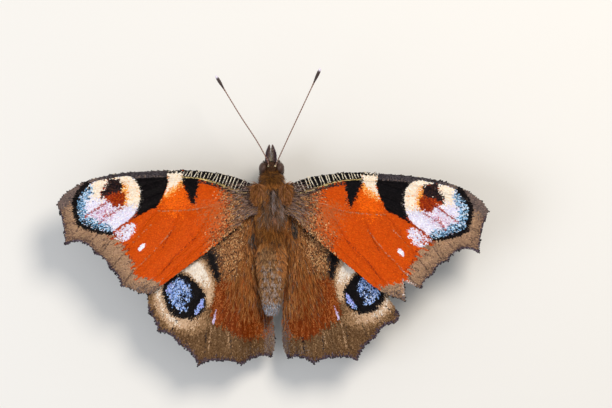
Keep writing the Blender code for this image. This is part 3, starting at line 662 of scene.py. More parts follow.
HINDWING_LEADING = [(118, 3.6), (92, 8.6), (77, 12.6)]
HINDWING_CORNER = {"L": ((62.9, 15.9), (49.5, 19.0), 0.25), "R": ((50.0, 16.0), (45.2, 19.65), -0.25)}
HINDWING_TEETH = {
    "media_1": (41.3, 20.1),
    "media_2": (32.2, 20.0),
    "media_3": (22.1, 21.6),
    "cubitus_1": (15.6, 20.1),
    "cubitus_2": (6.2, 20.2),
    "anal": (-5.2, 19.3),
}
HINDWING_SCALLOPS = [0.55, 0.5, 0.35, 0.3, 0.55]
HINDWING_TRAILING = [(-7.6, 17.3), (-8.6, 14.0), (-8.8, 10.5), (-12.0, 6.5), (-30.0, 3.2)]
HINDWING_ROOT = [(-100, 1.5), (165, 2.4)]
HINDWING_VEINS = [
    [(120, 1.6), (75, 4.6), (62, 8.5), (57, 12.0)],
    [(66, 6.4), (50, 10.5), (48.5, 14.5), "radial"],
    [(50, 10.0), (42.5, 14.0), "media_1"],
    [(46, 9.2), (35, 13.0), "media_2"],
    [(88, 1.4), (46, 4.6), (31, 9.4), (24.5, 14.5), "media_3"],
    [(32, 8.8), (18.5, 13.5), "cubitus_1"],
    [(42, 5.4), (16, 10.5), (8.0, 15.0), "cubitus_2"],
    [(60, 1.4), (6, 6.0), (-2.5, 12.0), "anal"],
]


def turned(points, pivot, degrees, stretch=1.0):
    """Turns points of the left wing towards the tail about its pivot."""
    angle = math.radians(degrees)
    x, y = ((np.asarray(points, dtype=float) - pivot) * stretch).T
    return pivot + np.stack(
        [x * math.cos(angle) - y * math.sin(angle), x * math.sin(angle) + y * math.cos(angle)], axis=1
    )


def scallop(start, end, depth, middle, steps=14):
    """The hollow of the margin between two teeth, without its last point."""
    start, end = np.array(start), np.array(end)
    normal = np.array([-(end - start)[1], (end - start)[0]]) / np.linalg.norm(end - start)
    if normal @ (np.array(middle) - start) < 0:
        normal = -normal
    t = np.linspace(0, 1, steps, endpoint=False)[:, None]
    return start + (end - start) * t + normal * depth * np.sin(math.pi * t) ** 0.7


def wing_outline(leading, teeth, depths, trailing, middle, chip=None):
    """The wing's edge as one closed run, and the part of it that is the outer margin."""
    names = list(teeth)
    front = smooth_run(list(leading) + [teeth[names[0]]], 8)[:-1]
    margin = []
    for near, far, depth in zip(names, names[1:], depths):
        if chip is not None and near == CHIP_AFTER:
            margin.append(smooth_run([teeth[near], (np.array(teeth[near]) + chip) / 2, chip], 4))
        else:
            margin.append(scallop(teeth[near], teeth[far], depth, middle))
    margin.append(np.array([teeth[names[-1]]]))
    margin = np.vstack(margin)
    back = smooth_run([teeth[names[-1]]] + list(trailing), 8)[1:]
    return np.vstack([front, margin, back]), np.vstack([front[-1:], margin]), front


def from_pivot(polar, turn=0.0):
    """A point of the left hindwing from its angle off straight back and its radius."""
    angle = math.radians(polar[0] + HINDWING_SWEEP["L"] + turn)
    return HINDWING_PIVOT + polar[1] * np.array([math.sin(angle), math.cos(angle)])


def forewing_plan(side):
    teeth = {}
    for name, tooth in FOREWING_TEETH.items():
        teeth[name] = np.array(tooth) + FOREWING_WEAR[side].get(name, (0.0, 0.0))
    chip = np.array(CHIP_CORNER) if side == CHIP_SIDE else None
    outline, margin, front = wing_outline(
        FOREWING_LEADING, teeth, FOREWING_SCALLOPS, FOREWING_TRAILING, (12.0, 0.0), chip
    )
    whole = wing_outline(
        FOREWING_LEADING, FOREWING_TEETH, FOREWING_SCALLOPS, FOREWING_TRAILING, (12.0, 0.0),
    )[1]
    veins = []
    for route in FOREWING_VEINS:
        veins.append(smooth_run([teeth[p] if isinstance(p, str) else p for p in route], 5))
    return {"outline": outline, "margin": margin, "whole": whole, "front": front, "veins": veins,
            "teeth": [*teeth.values()], "scratched": chip is not None}


def hindwing_plan(side):
    tuck = HINDWING_TUCK[side]
    corner, first_tooth, first_hollow = HINDWING_CORNER[side]
    teeth = {"radial": from_pivot(first_tooth)}
    teeth.update((name, from_pivot(tooth)) for name, tooth in HINDWING_TEETH.items())
    teeth["anal"] = from_pivot(HINDWING_TEETH["anal"], tuck)
    root = [from_pivot(p) for p in HINDWING_ROOT]
    outline, margin, front = wing_outline(
        [root[-1]] + [from_pivot(p) for p in (*HINDWING_LEADING, corner)], teeth,
        [first_hollow, *HINDWING_SCALLOPS],
        [from_pivot(p, tuck) for p in HINDWING_TRAILING] + root[:1], from_pivot((25, 8)),
    )
    veins = []
    for route in HINDWING_VEINS:
        veins.append(smooth_run([teeth[p] if isinstance(p, str) else from_pivot(p) for p in route], 5))
    return {"outline": outline, "margin": margin, "whole": margin, "front": front, "veins": veins,
            "teeth": [*teeth.values()]}


def place_on(kind, side, points):
    """Turns plan points of the left wing to where this wing is held, still on the left."""
    if kind == "forewing":
        return turned(points, FOREWING_PIVOT, FOREWING_SWEEP[side], FOREWING_STRETCH[side])
    return turned(points, HINDWING_PIVOT, HINDWING_SWEEP["L"] - HINDWING_SWEEP[side])


CANOPY_HEIGHT = 7.45
CANOPY_SLOPE = 0.125
CANOPY_CURVE = 0.0041
CANOPY_FALL = 0.03
WING_STACK = 1.12
TROUGH_DEPTH = 2.5
TROUGH_WIDTH = 4.6
TROUGH_START = 2.2
TROUGH_FULL = 7.5


def wing_height(kind, points):
    """Height of the wing's middle surface over placed points."""
    x, y = points.T
    out = np.abs(x) if kind == "forewing" else np.maximum(x, 0)
    height = CANOPY_HEIGHT + CANOPY_SLOPE * out - CANOPY_CURVE * out ** 2 - CANOPY_FALL * y
    if kind == "forewing":
        return height
    fold = smooth_step(TROUGH_WIDTH - x, 0, TROUGH_WIDTH)
    return height - WING_STACK - TROUGH_DEPTH * fold * smooth_step(y, TROUGH_START, TROUGH_FULL)


def nearest(line, points):
    """Distance of each point from a run, and the share of the run at which it is nearest."""
    steps = line[1:] - line[:-1]
    lengths = np.linalg.norm(steps, axis=1)
    t = ((points[:, None] - line[:-1]) * steps).sum(2) / np.maximum(lengths ** 2, 1e-9)
    t = t.clip(0, 1)
    gaps = np.linalg.norm(points[:, None] - line[:-1] - t[..., None] * steps, axis=2)
    found = gaps.argmin(1)
    rows = np.arange(len(points))
    starts = np.concatenate([[0], np.cumsum(lengths)[:-1]])
    along = starts[found] + t[rows, found] * lengths[found]
    return gaps[rows, found], along / lengths.sum()


def inside(shape, points):
    """True where a point lies within the closed shape."""
    a, b = shape, np.roll(shape, -1, axis=0)
    x, y = points[:, :1], points[:, 1:]
    spans = (a[:, 1] > y) != (b[:, 1] > y)
    rise = np.where(b[:, 1] == a[:, 1], 1e-9, b[:, 1] - a[:, 1])
    cross = x < a[:, 0] + (y - a[:, 1]) / rise * (b[:, 0] - a[:, 0])
    return (spans & cross).sum(1) % 2 == 1


def depth_in(shape, points):
    """Distance from the edge of a closed shape, positive inside it."""
    closed = np.vstack([shape, shape[:1]])
    return np.where(inside(shape, points), 1, -1) * nearest(closed, points)[0]


def soft_shape(corners):
    """A closed smooth shape through its corners."""
    corners = [*corners]
    run = smooth_run(corners[-2:] + corners + corners[:2], 5)
    return run[10:10 + 5 * len(corners)]


# Colours of the wings
# The colours are those of the scales, thousands of flat chitin plates that each have one tone. A
# marking is a mixture of tones, and its edge is where scales of two kinds stand mixed.
def band(distance, width, edge):
    """1 within a width of a line, falling to 0 over an edge."""
    return smooth_step(width + edge / 2 - distance, 0, edge)


ORANGE = palette(_cf4c00=5, _d45204=4, _c84600=3, _da5a08=2)
ORANGE_BRIGHT = palette(_ec6404=4, _f47008=3, _e25804=3)
ORANGE_DULL = palette(_c4622c=4, _bc5c2a=3, _c46c3c=2)
CREAM = palette(_f8e9d4=5, _faf0e2=4, _f6deba=2)
AMBER = palette(_f6a848=3, _f8bc6c=3, _f08a2c=2)
LILAC = palette(_e6e4f2=5, _f6f4fc=4, _dccce0=2, _d8d6f2=2)
PINK_HAZE = palette(_dcb4cc=3, _c894b4=2, _e8d0e0=2, _b06880=1)
SKY = palette(_94c0e4=4, _b8dcf4=3, _6494bc=4, _385878=3, _18222e=3, _e4f0fc=2)
BLACK = palette(_0c080a=5, _070506=4, _181214=2)
SOOT = palette(_2c2422=4, _3b302b=4, _1c1616=3, _544840=1)
CRIMSON = palette(_942c08=4, _7c200c=3, _ac3c08=3, _c0500c=2)
UMBER = palette(_2a1c20=4, _1a1014=4, _44281e=2, _14100e=2)
COSTA = palette(_3c3639=4, _2e2a2d=3, _4a4448=3, _5c5454=1)
STRAW = palette(_e4d8c0=5, _d0c4a8=3, _f0e8d8=2)
PALE_VEIN = palette(_d8c080=4, _c4a868=3, _e4d49c=2)
TAUPE = palette(_96765e=5, _a08064=4, _8a6a54=3, _a88868=2)
TAUPE_LIGHT = palette(_b08c70=4, _bc9674=3, _a48060=2)
TAUPE_DARK = palette(_6a5044=4, _5a443c=3, _785e4c=3)
APEX_GREY = palette(_6c5c56=4, _7c6a60=3, _5c4e4c=3, _8a7068=1)
MARGIN = palette(_443842=4, _52444e=3, _342a30=2, _6a5e68=1)
GOLD_DUST = palette(_c8905c=4, _a46a40=4, _74482e=4, _402a1e=4, _241a18=2, _e0b47c=2)
GREY_DUST = palette(_8a746c=3, _6c5850=3, _403430=4, _a49088=2)
WHITE_SPOT = palette(_f0eef8=5, _fcfcff=2, _e0dcf0=1)
ROSE_LINE = palette(_b85048=3, _a83c2c=3, _c88484=2)
FAINT_VEIN = palette(_c4703c=3, _b8765a=2, _ca8c68=1)
BURNT_LINE = palette(_a83a0c=3, _983008=2)
WORN = palette(_d4c4bc=2, _b49484=3, _e6dcd8=1)

OCELLUS = soft_shape([
    (20.5, -5.3), (19.1, -5.2), (18.1, -4.55), (17.6, -3.5), (17.58, -2.2), (17.85, -1.1), (18.35, -0.1),
    (19.1, 0.65), (20.1, 1.35), (21.1, 2.1), (21.8, 2.25), (22.9, 2.05), (24.2, 1.72), (25.3, 1.35),
    (25.9, 0.85), (26.1, 0.0), (26.3, -1.2), (26.2, -2.1), (25.6, -2.95), (24.95, -3.8), (24.2, -4.45),
    (23.0, -4.8), (21.8, -5.15),
])
OCELLUS_PUPIL = soft_shape([
    (21.9, -4.9), (21.1, -4.85), (20.2, -4.45), (19.95, -3.8), (20.2, -3.2), (21.0, -3.1), (21.8, -2.9),
    (22.75, -2.4), (22.6, -3.2), (22.1, -3.9),
])
OCELLUS_RED = soft_shape([
    (22.9, -2.5), (22.0, -3.1), (20.9, -3.3), (19.8, -3.1), (19.65, -1.7), (20.3, -1.25), (20.9, -1.15),
    (21.5, -1.6), (22.0, -2.1),
])
OCELLUS_AMBER = soft_shape([
    (20.0, -4.4), (19.3, -3.9), (19.1, -2.6), (19.3, -1.5), (20.1, -1.3), (20.4, -2.6),
])
EYE_SEAM = np.array([(21.2, 2.3), (20.14, 1.42), (19.3, 0.9), (18.6, 0.4), (18.0, -0.3)])
LILAC_PATCH = soft_shape([
    (21.4, 2.5), (20.6, 1.9), (19.6, 1.25), (18.6, 1.05), (18.2, 1.6), (18.5, 2.4), (19.1, 3.1),
    (19.9, 3.5), (20.8, 3.2),
])
BLACK_BAR = np.array([
    (13.45, -5.3), (13.85, -4.3), (14.2, -3.4), (14.65, -2.4), (15.2, -1.3), (15.5, -0.95), (16.3, -0.7),
    (17.3, -0.2), (18.3, 0.35), (19.4, -0.3), (19.5, -5.3),
])
CREAM_COSTA = soft_shape([
    (13.75, -6.3), (12.0, -6.3), (11.9, -4.6), (11.7, -3.6), (12.1, -2.8), (13.1, -2.4), (14.3, -2.4),
    (13.8, -4.3),
])
WEDGE = np.array([
    (12.0, -5.3), (11.85, -4.3), (11.3, -3.1), (10.8, -1.9), (10.5, -1.5), (10.25, -1.8), (10.1, -2.5),
    (9.85, -3.6), (9.7, -4.6), (9.6, -5.2),
])
STRAW_VEIN = smooth_run([(12.4, -5.15), (9.6, -4.9), (7.9, -4.5), (6.2, -3.95), (4.5, -3.25), (2.6, -2.9)], 4)
MEDIAN_LINE = smooth_run([(4.6, -2.35), (7.9, -1.42), (9.9, -0.86), (12.8, -0.63), (15.2, -0.6)], 4)
ROSE_LINES = [
    (np.array([(21.9, -1.9), (23.5, -0.8), (24.9, 0.1)]), 0.15),
    (np.array([(22.1, -0.4), (22.6, 0.4), (23.1, 1.2)]), 0.12),
    (np.array([(20.1, -1.0), (21.0, -0.5), (21.9, 0.1)]), 0.12),
]
FAINT_LINES = [
    (np.array([(16.0, 1.2), (17.3, 2.4), (18.6, 3.7)]), 0.06),
    (np.array([(12.9, 1.5), (15.0, 4.0), (18.4, 7.4)]), 0.07),
]
BURNT_LINES = [
    (np.array([(10.0, 2.8), (13.1, 5.7), (14.9, 8.0)]), 0.07),
    (np.array([(13.4, 2.2), (14.6, 4.4)]), 0.06),
]
VEIN_ENDS = [
    np.array([(21.6, 3.4), (22.7, 5.0)]), np.array([(23.0, 2.3), (24.2, 3.4)]),
    np.array([(19.9, 5.3), (21.3, 6.8)]),
    np.array([(26.0, 1.8), (27.2, 3.2)]), np.array([(18.5, 7.3), (19.8, 9.2)]),
]
SCRATCH = np.array([(17.2, 5.95), (17.7, 6.7), (18.43, 7.24)])
BAND_Y = [-3.0, 1.0, 2.5, 4.5, 6.0, 8.0, 9.2, 11.0]
BAND_WIDTH = [1.6, 1.8, 3.1, 2.85, 2.5, 2.15, 2.2, 2.1]


def streaked(points, root, seed, across=0.35, reach=0.35):
    """A jagged field that runs in streaks away from the wing's root."""
    away = points - root
    radius = np.linalg.norm(away, axis=1)
    angle = np.arctan2(away[:, 0], away[:, 1])
    flat = np.stack([angle * 16 / across, radius / 2.4], axis=1)
    return reach * ripple(flat, 1.0, seed)


def forewing_upper(points, plan, draw):
    """Colour of the upper side at plan points of the left forewing."""
    x, y = points.T
    edge = nearest(plan["whole"], points)[0]
    front = nearest(plan["front"], points)[0]
    rag = ripple(points, 0.7, 11) * 0.1
    fray = ripple(points, 0.3, 18) * 0.08
    jag = streaked(points, (0.0, -5.0), 12)
    marks = Markings(len(points), ORANGE, draw)
    bright = smooth_step(np.hypot(x - 13.0, (y + 2.2) * 0.9), 3.0, 0.6)
    marks.lay(bright * 0.9, ORANGE_BRIGHT)
    dull = smooth_step(x + 0.25 * y, 11.0, 7.0) * smooth_step(y, -2.8, -0.8) * 0.8
    marks.lay(dull, ORANGE_DULL)
    for line, width in FAINT_LINES:
        marks.lay(band(nearest(line, points)[0], width, 0.12) * 0.6, FAINT_VEIN)
    for line, width in BURNT_LINES:
        marks.lay(band(nearest(line, points)[0], width, 0.15) * 0.8, BURNT_LINE)
    marks.lay(band(nearest(MEDIAN_LINE, points)[0], 0.06, 0.12) * 0.7, FAINT_VEIN)

    # Speckled base
    root_line = 6.8 + 0.42 * np.maximum(y, 0) + ripple(points, 3.0, 13) * 0.4
    marks.lay(smooth_step(x, root_line + 1.2, root_line - 2.2) * 0.93, GOLD_DUST)
    marks.lay(smooth_step(x + jag, 5.0, 2.8) * 0.75, GREY_DUST)

    # Brown outer margin
    spot = depth_in(OCELLUS, points) + (rag * 0.4 + fray) * smooth_step(x, 19.0, 21.5)
    wide = np.interp(y, BAND_Y, BAND_WIDTH) + jag
    taupe = smooth_step(wide - edge, -0.2, 0.25) * smooth_step(x, 12.8, 14.0)
    taupe = np.maximum(taupe, smooth_step(x + 0.35 * y, 23.2, 23.8) * smooth_step(front, 0.3, 0.6))
    singed = band(np.abs(wide - edge + 0.15), 0.25, 0.7) * smooth_step(y, 2.2, 3.2) * smooth_step(y, 8.5, 4.5)
    marks.lay(singed * 0.6, CRIMSON)
    marks.lay(taupe, TAUPE)
    marks.lay(taupe * smooth_step(edge, 0.8, 1.5) * 0.6, TAUPE_LIGHT)
    streak = smooth_step(streaked(points, (0.0, -5.0), 14, 0.3, 1.0), 0.3, 0.9)
    marks.lay(taupe * streak * 0.4, TAUPE_DARK)
    for line in VEIN_ENDS:
        marks.lay(taupe * band(nearest(line, points)[0], 0.08, 0.1) * 0.85, TAUPE_DARK)
    marks.lay(taupe * smooth_step(edge, 0.8, 0.3) * 0.5, TAUPE_DARK)
    marks.lay(taupe * smooth_step(y, 0.0, -2.4) * 0.9, APEX_GREY)
    marks.lay(taupe * smooth_step(y, 8.4, 10.2) * 0.4, APEX_GREY)
    marks.lay(smooth_step(edge + jag * 0.15, 0.26, 0.1) * np.maximum(taupe, x > 20), MARGIN)

    # Leading edge, black bar and wedge
    bar = np.minimum(depth_in(BLACK_BAR, points), front - 0.85) + rag * 0.5 + fray * 0.5
    strip = smooth_step(front + rag * 0.5, 1.1, 0.9)
    marks.lay(strip * smooth_step(x, 13.2, 13.7) * smooth_step(x, 27.5, 25.5), COSTA)
    marks.lay(strip * smooth_step(x, 21.5, 24.5), APEX_GREY)
    grey_rib = band(np.abs(front - 0.75), 0.12, 0.2) * smooth_step(x, 14.0, 15.0) * smooth_step(x, 22.0, 20.0)
    marks.lay(grey_rib * 0.4, APEX_GREY)
    marks.lay(smooth_step(bar, -0.06, 0.06), BLACK)
    glow = band(np.abs(bar + 0.12), 0.07, 0.14) * smooth_step(x, 15.2, 14.2) * smooth_step(y, -4.3, -3.8)
    marks.lay(glow * 0.6, AMBER)
    cream = depth_in(CREAM_COSTA, points) + rag * 0.6
    on_cream = smooth_step(cream, -0.12, 0.15)
    slope = y + rag - 0.8 * (x - 12.8)
    marks.lay(on_cream * smooth_step(slope, -2.5, -3.9) * 0.95, AMBER)
    marks.lay(on_cream * smooth_step(slope, -3.6, -4.4), CREAM)
    marks.lay(on_cream * smooth_step(front, 0.4, 0.3) * 0.8, BLACK)
    wedge = depth_in(WEDGE, points) + rag * 0.6 + fray
    marks.lay(smooth_step(wedge, -0.3, 0.0) * smooth_step(x, 11.0, 10.0) * 0.6, SOOT)
    marks.lay(smooth_step(wedge, -0.25, 0.2), BLACK)
    below = y - np.interp(x, STRAW_VEIN[::-1, 0], STRAW_VEIN[::-1, 1])
    near_root = smooth_step(x, 12.2, 11.6)
    under = band(np.abs(below - 0.3), 0.24, 0.2) * smooth_step(x, 10.2, 9.2)
    marks.lay(under * 0.9, SOOT)
    ribs = (below < 0.02) & (x < 13.5) & (cream < 0.05)
    marks.lay(ribs * smooth_step(cream, 0.1, -0.1), BLACK)
    marks.lay(band(np.abs(below), 0.06, 0.06) * near_root, PALE_VEIN)

    # Great eyespot
    beyond = smooth_step(x + 0.5 * y, 21.9, 22.5)
    open_top = smooth_step(y, -4.0, -4.6) * smooth_step(x, 24.6, 23.6)
    thick = 0.42 + 0.12 * smooth_step(y, -1.0, -3.0)
    rim = smooth_step(spot, -thick - 0.1, -thick + 0.06) * beyond * (1 - open_top)
    marks.lay(rim, BLACK)
    rim = smooth_step(spot, -0.1, 0.0) * smooth_step(x, 23.4, 24.6) * smooth_step(y, -4.6, -3.6)
    marks.lay(rim, BLACK)
    spot = spot - 0.2 * smooth_step(x, 23.4, 24.6)
    within = smooth_step(spot, -0.05, 0.05) * smooth_step(front, 0.38, 0.5)
    marks.lay(within, LILAC)
    creamy = smooth_step(y + 0.4 * np.clip(x - 18, 0, 3), -0.3, -1.6) * smooth_step(x, 25.0, 23.6)
    marks.lay(within * creamy, CREAM)
    haze = smooth_step(np.hypot((x - 22.4) * 0.6, y + 0.3), 1.5, 0.4)
    marks.lay(within * haze * 0.45, PINK_HAZE)
    zone = np.interp(x + 0.5 * y, [21.0, 22.5, 24.0], [0.5, 1.15, 1.25]) + rag * 2
    bluish = smooth_step(zone - spot, -0.25, 0.35) * beyond * smooth_step(y, -4.5, -3.7)
    marks.lay(within * bluish * 0.95, SKY)
    peppered = smooth_step(spot + rag, 0.65, 0.1) * beyond * smooth_step(y, -4.5, -3.7)
    marks.lay(within * peppered * 0.45, BLACK)
    specks = smooth_step(ripple(points, 0.45, 19), 0.8, 1.2)
    specks = specks * smooth_step(np.hypot(x - 24.9, y + 0.6), 1.8, 0.6)
    marks.lay(within * specks * 0.8, BLACK)
    tinge = depth_in(OCELLUS_AMBER, points) + rag
    marks.lay(within * smooth_step(tinge, -0.4, 0.4) * 0.9, AMBER)
    drips = smooth_step(np.sin(2 * math.pi * (y + 0.15 * x) / 0.62) + fray * 3, 0.6, 1.0)
    marks.lay(within * drips * creamy * smooth_step(x, 20.0, 19.0) * 0.2, AMBER)
    red = depth_in(OCELLUS_RED, points) + rag * 1.2 + fray
    marks.lay(smooth_step(red, -0.2, 0.15), CRIMSON)
    pupil = depth_in(OCELLUS_PUPIL, points) + rag + fray - 0.12
    marks.lay(within * smooth_step(pupil, -0.5, -0.1) * 0.35, CRIMSON)
    smoke = band(np.hypot(x - 21.4, (y + 4.8) * 0.8), 0.4, 0.5)
    marks.lay(np.maximum(smooth_step(pupil, -0.35, 0.05), smoke * 0.35), UMBER)
    for line, width in ROSE_LINES:
        marks.lay(band(nearest(line, points)[0] + fray, width, 0.12) * 0.7, ROSE_LINE)

    # Lilac patch and white spot
    patch = depth_in(LILAC_PATCH, points) + rag + fray
    marks.lay(smooth_step(patch, -0.2, 0.2) * (0.95 - 0.3 * smooth_step(x, 19.4, 20.8)), LILAC)
    specks = smooth_step(ripple(points, 0.4, 20), 0.5, 1.0) * smooth_step(x, 18.6, 20.0)
    marks.lay(smooth_step(patch, 0.0, 0.2) * specks * 0.7, CRIMSON)
    ends = band(np.hypot((x - 21.2) * 0.8, (y - 2.9) * 1.4), 0.5, 0.6)
    marks.lay(ends * 0.5, CRIMSON)
    marks.lay(band(nearest(EYE_SEAM, points)[0] + fray * 0.5, 0.1, 0.1) * 0.9, BURNT_LINE)
    leaning = np.array([0.66, 0.75])
    along = (points - (17.4, 4.3)) @ leaning
    beside = (points - (17.4, 4.3)) @ np.array([-leaning[1], leaning[0]])
    dot = 1 - np.hypot(along / 0.62, beside / 0.3)
    marks.lay(smooth_step(dot + rag, -0.1, 0.15), WHITE_SPOT)
    torn = smooth_step(nearest(plan["margin"], points)[0], 0.3, 0.1) * (edge > 0.8)
    if plan["scratched"]:
        torn = np.maximum(torn, band(nearest(SCRATCH, points)[0] + fray, 0.04, 0.1))
    return marks.lay(torn * 0.55, WORN).colours


RUST = palette(_742d02=5, _7c350a=4, _6a2800=4, _8e4c1c=1)
RUST_LIGHT = palette(_9c5226=4, _a8622f=3, _8c4012=3)
TAN = palette(_ccaa88=4, _d6b898=3, _c09c7c=3)
HIND_CREAM = palette(_f2e8da=4, _f6eee4=4, _e8d8c2=3)
HIND_TAUPE = palette(_64482e=4, _745638=4, _54391f=3, _86684a=1)
HIND_GREY = palette(_74604e=3, _806c5c=3, _5c4c44=3)
HIND_VIOLET = palette(_74625a=3, _665656=3, _8a7868=2)
HAIR_BROWN = palette(_935c30=4, _a0683a=3, _784620=3, _b47c48=1)
COBALT = palette(_a8c4f4=5, _8cb0ec=4, _6484c4=3, _38487c=2, _141c30=3, _d4e0fc=3)
VIOLET = palette(_a8b0f0=4, _94b0f4=4, _b8a8e0=2, _4c5c98=1)
FAWN = palette(_9a7654=4, _a8845e=3, _866646=3)
PALE_STREAK = palette(_b08c68=4, _a07c5a=3, _bc9a78=2)
LILAC_DASH = palette(_c8b0d4=3, _d8c8e6=2)

HIND_SPOT = soft_shape([
    (12.4, 7.95), (11.1, 8.3), (10.1, 9.2), (9.3, 10.1), (8.9, 11.2), (9.1, 12.5), (10.0, 13.5), (11.1, 13.9),
    (12.8, 13.6), (13.8, 12.6), (14.3, 11.4), (14.55, 10.3), (14.3, 9.2), (13.5, 8.4),
])
HIND_BLUE = soft_shape([
    (12.7, 8.5), (13.9, 9.4), (14.16, 9.95), (13.9, 10.9), (13.56, 11.85), (12.84, 12.45), (12.0, 12.95),
    (11.3, 12.85), (11.5, 12.1), (10.85, 11.4), (10.67, 10.5), (10.9, 9.8), (11.5, 8.9), (12.0, 8.5),
])
HIND_BLUE_BAR = np.array([(9.15, 11.1), (9.5, 12.1), (10.2, 13.1)])
HIND_CREAM_PATCH = soft_shape([
    (12.2, 7.5), (11.2, 6.6), (10.2, 5.9), (9.3, 6.2), (8.6, 7.2), (8.1, 8.2), (7.85, 9.2),
    (7.9, 10.3), (8.15, 11.6), (8.6, 12.0), (8.9, 10.9), (9.5, 9.7), (10.3, 8.8), (11.3, 8.0),
])
HIND_BLACK_BAR = soft_shape([
    (8.5, 5.1), (7.8, 5.3), (7.35, 6.5), (7.1, 7.9), (7.2, 8.8), (7.5, 8.6), (7.9, 7.5), (8.4, 6.5),
])
HIND_RUST_FIELD = soft_shape([
    (8.2, 9.6), (7.2, 8.9), (5.2, 8.6), (3.4, 9.2), (2.0, 10.2), (1.0, 11.8), (0.7, 13.8), (0.9, 15.6),
    (2.0, 16.5), (3.5, 16.8), (4.9, 16.2), (6.2, 15.3), (7.5, 14.7), (8.0, 13.8), (8.15, 12.0),
])
HIND_DASH = np.array([(7.42, 12.7), (7.85, 14.4)])
HIND_PALE_LINES = [
    (np.array([(10.67, 14.1), (11.1, 15.6)]), 0.09),
    (np.array([(8.15, 15.0), (8.6, 18.4)]), 0.1),
    (np.array([(5.75, 15.8), (5.8, 17.8)]), 0.09),
]
HIND_DARK_LINES = [
    (np.array([(12.7, 14.1), (13.5, 15.5)]), 0.08),
    (np.array([(8.75, 15.6), (9.0, 18.6)]), 0.07),
    (np.array([(10.9, 15.2), (11.5, 17.2)]), 0.06),
    (np.array([(2.9, 16.6), (2.9, 18.6)]), 0.12),
    (np.array([(5.5, 16.2), (5.45, 18.6)]), 0.08),
    (np.array([(14.3, 13.2), (15.4, 14.6)]), 0.07),
]
FOLD_LINE = np.array([(2.85, 1.0), (2.7, 4.0), (2.3, 8.0), (1.75, 12.7)])


